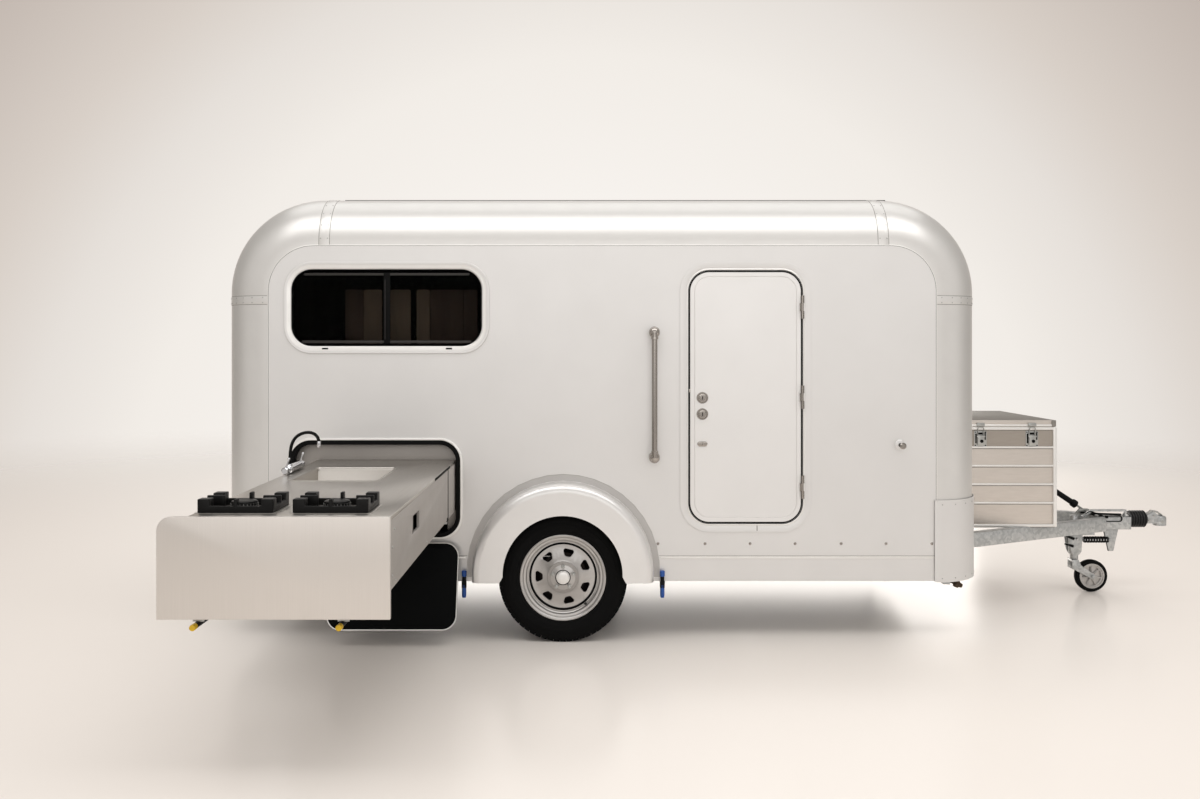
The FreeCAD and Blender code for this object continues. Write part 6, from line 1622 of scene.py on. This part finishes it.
@dataclass
class Fittings:
    """Solar panel, lamps, plate holder, drain taps, bunk and mattress."""

    roof: float = 2.294
    rear: float = -1.79
    drain_x: tuple[float, float] = (-0.51, 0.51)
    drain_out: float = 0.02
    spindles: tuple[tuple[float, int], ...] = ((2.045, 1), (-1.643, -1))
    spindle_y: float = -0.85
    pad_inset: float = 0.05
    pad_thick: float = 0.084
    pad_crown: float = 0.016
    pad_edge: float = 0.022
    tuft_depth: float = 0.0035
    tuft_turn: float = 32.0

    def build(self) -> None:
        """Build the small pieces."""
        self.solar()
        self.rear_end()
        self.drains()
        self.cabin()

    def solar(self) -> None:
        """Framed solar panel on corner brackets, with its cells on top."""
        low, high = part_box("solar_panel")
        x0, x1 = low.x - GROUND.x, high.x - GROUND.x
        top = high.z - GROUND.z
        refine("solar_panel", "solar_frame", "trailer", BLACK_PLASTIC, "solar", 0.002)
        form = Form()
        form.plate(rounded_outline((x0 + 0.03, low.y + 0.03), (x1 - 0.03, high.y - 0.03), 0.004, 3), Axis.Z,
                   top - 0.001, top + 0.0005, 0.0)
        form.dress("solar_cell_sheet", "trailer", SOLAR_CELLS, "solar")
        gland = Form()
        gland.block((0.196, 0.02, self.roof - 0.001), (0.226, 0.06, self.roof + 0.02), 0.004)
        gland.dress("roof_cable_gland", "trailer", WHITE_PLASTIC, "silver_metal")

    def rear_end(self) -> None:
        """Lamp clusters, reflectors and a blank plate holder on the rear wall."""
        low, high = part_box("rear_lamps")
        z0, z1 = low.z - GROUND.z, high.z - GROUND.z
        x0, x1 = low.x - GROUND.x, high.x - GROUND.x
        form = Form()
        y0, y1 = high.y - 0.11, high.y
        form.block((x0 + 0.014, y0, z0), (x1, y1, z1), 0.004, 0)
        third = (z1 - z0) / 3
        for number, finish in ((0, 1), (1, 2), (2, 1)):
            form.block((x0, y0 + 0.006, z0 + number * third + 0.004),
                       (x0 + 0.02, y1 - 0.006, z0 + (number + 1) * third - 0.002), 0.005, finish, None, 3)
        form.both_sides()
        form.dress("rear_lamp_clusters", "trailer", (BLACK_PLASTIC, RED_LENS, AMBER_LENS), "red_lens",
                   ["rear_lamps"])
        plate = Form()
        plate.plate(rounded_outline((-0.27, 0.56), (0.27, 0.69), 0.012, 6), Axis.X, self.rear - 0.01,
                    self.rear + 0.001, 0.002)
        plate.plate(rounded_outline((-0.255, 0.572), (0.255, 0.678), 0.008, 6), Axis.X, self.rear - 0.012,
                    self.rear - 0.009, 0.001, 1)
        plate.block((self.rear - 0.03, -0.06, 0.7), (self.rear + 0.001, 0.06, 0.722), 0.004)
        plate.dress("plate_holder", "trailer", (BLACK_PLASTIC, WHITE_PLASTIC), "dark_board")

    def drains(self) -> None:
        """Two drain taps with a blue union above and a blue lever below."""
        form = Form()
        y = -SIDE - self.drain_out
        for x in self.drain_x:
            form.turned([(0.216, 0.0), (0.216, 0.0095), (0.228, 0.0115), (0.262, 0.0115), (0.266, 0.0085)],
                        (x, y, 0), Axis.Z, 20, 1)
            form.turned([(0.262, 0.009), (0.268, 0.0128), (0.3, 0.0128), (0.304, 0.01), (0.322, 0.01),
                         (0.326, 0.0075)], (x, y, 0), Axis.Z, 20)
            form.turned([(0.322, 0.008), (0.326, 0.013), (0.35, 0.013), (0.354, 0.01), (0.355, 0.0)],
                        (x, y, 0), Axis.Z, 12, 1)
            form.block((x - 0.004, y, 0.306), (x + 0.004, -SIDE + 0.001, 0.32), 0.001, 2)
            form.block((x - 0.005, y - 0.0125, 0.226), (x + 0.005, y - 0.006, 0.284), 0.002, 1)
        form.dress("drain_tap_set", "trailer", (BLACK_PLASTIC, BLUE_PLASTIC, PLATED), "valve", ["drain_taps"])
        nuts = Form()
        for x, way in self.spindles:
            start = Vector((x, self.spindle_y, 0.262))
            end = Vector((x + way * 0.05, self.spindle_y, 0.242))
            nuts.rod(start, end, 0.008, None, 16)
            nuts.rod(start + (end - start) * 0.55, end, 0.021, None, 6, 0.002)
            nuts.rod(end, end + (end - start) * 0.35, 0.013, 0.011, 16, 0.002)
        nuts.both_sides().dress("steady_spindle_nuts", "trailer", CORRODED, "galvanised")

    def cabin(self) -> None:
        """Bunk board and a crowned, padded mattress."""
        dress_node("bunk", PLYWOOD)
        low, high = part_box("mattress")
        part = bmesh.new()
        bmesh.ops.create_grid(part, x_segments=24, y_segments=36, size=0.5)
        wide, deep = high.x - low.x - self.pad_inset, high.y - low.y - self.pad_inset
        bmesh.ops.scale(part, vec=(wide, deep, 1), verts=part.verts)
        moved = bmesh.ops.extrude_face_region(part, geom=part.faces[:])
        tops = only(moved["geom"], bmesh.types.BMVert)
        bmesh.ops.translate(part, vec=(0, 0, self.pad_thick), verts=tops)
        for vert in tops:
            edge = min(1 - abs(vert.co.x) / (wide / 2), 1 - abs(vert.co.y) / (deep / 2))
            lift = min(1.0, edge * 6)
            vert.co.z += self.pad_crown * math.sin(lift * math.pi / 2)
            along, across = (0.5 + 0.5 * math.cos(place * self.tuft_turn) for place in vert.co.xy)
            vert.co.z -= self.tuft_depth * along * across
        bmesh.ops.recalc_face_normals(part, faces=part.faces)
        rims = [edge for edge in part.edges if edge.calc_face_angle(0.0) > 1.0]
        round_edges(part, rims, self.pad_edge, 4)
        middle = (low + high) / 2 - GROUND
        bmesh.ops.translate(part, vec=(middle.x, middle.y, low.z - GROUND.z), verts=part.verts)
        form = Form().take(part)
        piece = form.dress("bunk_mattress", "trailer", TICKING, "fabric", ["mattress"], 60.0)


# Studio


@dataclass(frozen=True)
class SoftBox:
    """One area light: its place, aim, size, power and tint, and whether metals mirror it."""

    name: str
    at: tuple[float, float, float]
    aim: tuple[float, float, float]
    size: tuple[float, float]
    watts: float
    tint: tuple[float, float, float] = (1.0, 1.0, 1.0)
    mirrored: bool = True


@dataclass
class Studio:
    """Pale floor, soft boxes, pale surroundings and the camera."""

    focal: float = 30.84
    sensor: float = 36.0
    camera_at: tuple[float, float, float] = (0.148, -6.31, 1.53)
    shift: tuple[float, float] = (0.0067, -0.0479)
    floor_tone: str = "efe8e1"
    floor_radius: float = 26.0
    floor_roughness: float = 0.22
    floor_fade: tuple[float, float] = (4.5, 14.0)
    ambient: float = 0.86
    hall: str = "d0ccc8"
    glow: tuple[tuple[float, str], ...] = (
        (0.2, "fbf7f3"), (0.467, "f2ede7"), (0.56, "e6e0da"), (0.633, "d8cfc7"), (0.733, "c3b8b0"),
        (0.96, "88837c"))
    boxes: tuple[SoftBox, ...] = (
        SoftBox("overhead_box", (0.4, -2.7, 4.9), (0.4, -1.0, 1.6), (8.0, 2.0), 105.0),
        SoftBox("top_box", (0.4, 0.8, 5.4), (0.4, 0.0, 1.0), (8.0, 3.0), 70.0),
        SoftBox("front_fill", (0.3, -9.0, 2.6), (0.3, 0.0, 1.0), (9.0, 3.0), 70.0),
        SoftBox("right_fill", (7.5, -4.0, 1.8), (2.0, -0.9, 1.2), (3.0, 4.0), 60.0, mirrored=False),
        SoftBox("rear_fill", (1.4, 6.5, 1.3), (1.4, 0.0, 0.1), (7.0, 2.2), 150.0, (1.0, 0.95, 0.9)))

    def build(self) -> None:
        """Set the stage."""
        view = bpy.context.scene.view_settings
        view.view_transform = "Standard"
        self.floor()
        self.world()
        self.lamps()
        self.camera()

    def floor(self) -> None:
        """Round pale floor whose rim fades into the surroundings."""
        part = bmesh.new()
        bmesh.ops.create_circle(part, cap_ends=True, cap_tris=False, segments=96, radius=self.floor_radius)
        bmesh.ops.translate(part, vec=(GROUND.x, 0, GROUND.z - 0.0005), verts=part.verts)
        mesh = bpy.data.meshes.new("studio_floor")
        part.to_mesh(mesh)
        part.free()
        floor = bpy.data.objects.new("studio_floor", mesh)
        bpy.context.scene.collection.objects.link(floor)
        material = bpy.data.materials.new("pale_studio_floor")
        material.use_nodes = True
        tree = material.node_tree
        shader = tree.nodes["Principled BSDF"]
        shader.inputs["Base Color"].default_value = linear(self.floor_tone)
        shader.inputs["Roughness"].default_value = self.floor_roughness
        place = add_node(tree, "ShaderNodeTexCoord")
        centred = add_node(tree, "ShaderNodeMapping", {"Vector": place.outputs["Object"],
                                                       "Location": (-GROUND.x, 0, 0)})
        length = add_node(tree, "ShaderNodeVectorMath", {0: centred.outputs["Vector"]}, operation="LENGTH")
        near, far = self.floor_fade
        fade = add_node(tree, "ShaderNodeMapRange", {"Value": length.outputs["Value"], "From Min": near,
                                                     "From Max": far}, interpolation_type="SMOOTHSTEP")
        clear = add_node(tree, "ShaderNodeBsdfTransparent")
        mix = add_node(tree, "ShaderNodeMixShader", {0: fade.outputs["Result"], 1: shader.outputs["BSDF"],
                                                     2: clear.outputs["BSDF"]})
        tree.links.new(mix.outputs["Shader"], tree.nodes["Material Output"].inputs["Surface"])
        mesh.materials.append(material)

    def world(self) -> None:
        """Even ambient light, with a pale backdrop for camera, gloss and glass.

        The backdrop pales towards its middle, and the dark flanks of the hall give the
        silver posts their shaded edges.
        """
        world = bpy.data.worlds.new("studio_surroundings")
        bpy.context.scene.world = world
        world.use_nodes = True
        tree = world.node_tree
        tree.nodes.clear()
        path = add_node(tree, "ShaderNodeLightPath")
        seen = add_node(tree, "ShaderNodeMath",
                        {0: path.outputs["Is Camera Ray"], 1: path.outputs["Is Glossy Ray"]},
                        operation="MAXIMUM")
        both = add_node(tree, "ShaderNodeMath", {0: seen.outputs[0], 1: path.outputs["Is Transmission Ray"]},
                        operation="MAXIMUM")
        way = add_node(tree, "ShaderNodeTexCoord")
        centred = add_node(tree, "ShaderNodeMapping", {
            "Vector": way.outputs["Generated"], "Location": (0.0, 0.0, 0.18), "Scale": (1.147, 0.0, 1.067)})
        reach = add_node(tree, "ShaderNodeVectorMath", {0: centred.outputs["Vector"]}, operation="LENGTH")
        ramp = add_node(tree, "ShaderNodeValToRGB", {"Fac": reach.outputs["Value"]})
        stops = ramp.color_ramp.elements
        for element, (spot, code) in zip((stops[0], stops[1]), self.glow[:2]):
            element.position = spot
            element.color = linear(code)
        for spot, code in self.glow[2:]:
            stops.new(spot).color = linear(code)
        split = add_node(tree, "ShaderNodeSeparateXYZ", {"Vector": way.outputs["Generated"]})
        behind = add_node(tree, "ShaderNodeMapRange", {"Value": split.outputs["Y"], "From Min": 0.25,
                                                       "From Max": -0.45}, interpolation_type="SMOOTHSTEP")
        backdrop = add_node(tree, "ShaderNodeMix", {0: behind.outputs["Result"]}, data_type="RGBA")
        tree.links.new(ramp.outputs["Color"], backdrop.inputs[6])
        backdrop.inputs[7].default_value = linear(self.hall)
        ambient = add_node(tree, "ShaderNodeBackground",
                           {"Color": linear("f6f3f0"), "Strength": self.ambient})
        pale = add_node(tree, "ShaderNodeBackground", {"Color": backdrop.outputs[2], "Strength": 1.0})
        mix = add_node(tree, "ShaderNodeMixShader", {0: both.outputs[0], 1: ambient.outputs["Background"],
                                                     2: pale.outputs["Background"]})
        add_node(tree, "ShaderNodeOutputWorld", {"Surface": mix.outputs["Shader"]})

    def lamps(self) -> None:
        """Soft boxes above, in front, on the right and behind."""
        for box in self.boxes:
            light = bpy.data.lights.new(box.name, "AREA")
            light.shape = "RECTANGLE"
            light.size, light.size_y = box.size
            light.energy = box.watts
            light.color = box.tint
            lamp = bpy.data.objects.new(box.name, light)
            bpy.context.scene.collection.objects.link(lamp)
            lamp.location = Vector(box.at) + GROUND
            lamp.visible_camera = False
            lamp.visible_glossy = box.mirrored
            lamp.rotation_euler = (Vector(box.aim) - Vector(box.at)).to_track_quat("-Z", "Y").to_euler()

    def camera(self) -> None:
        """Camera square to the trailer's right side."""
        lens = bpy.data.cameras.new("studio_camera")
        lens.lens = self.focal
        lens.sensor_width = self.sensor
        lens.shift_x, lens.shift_y = self.shift
        lens.dof.use_dof = False
        lens.clip_end = 200.0
        camera = bpy.data.objects.new("studio_camera", lens)
        bpy.context.scene.collection.objects.link(camera)
        camera.location = Vector(self.camera_at) + GROUND
        camera.rotation_euler = (math.radians(90), 0, 0)
        bpy.context.scene.camera = camera


def main() -> None:
    """Build the studio and every sub-assembly in order."""
    logging.basicConfig(level=logging.INFO, format="%(message)s")
    Studio().build()
    for assembly in (BodyShell(), SideWindow(), EntryDoor(), Kitchen(), DropFlap(), RoadWheel("right", -1.0),
                     RoadWheel("left", 1.0), Underframe(), Drawbar(), StorageBox(), Fittings()):
        assembly.build()
        LOG.info("%s done", type(assembly).__name__)


if __name__ == "__main__":
    main()
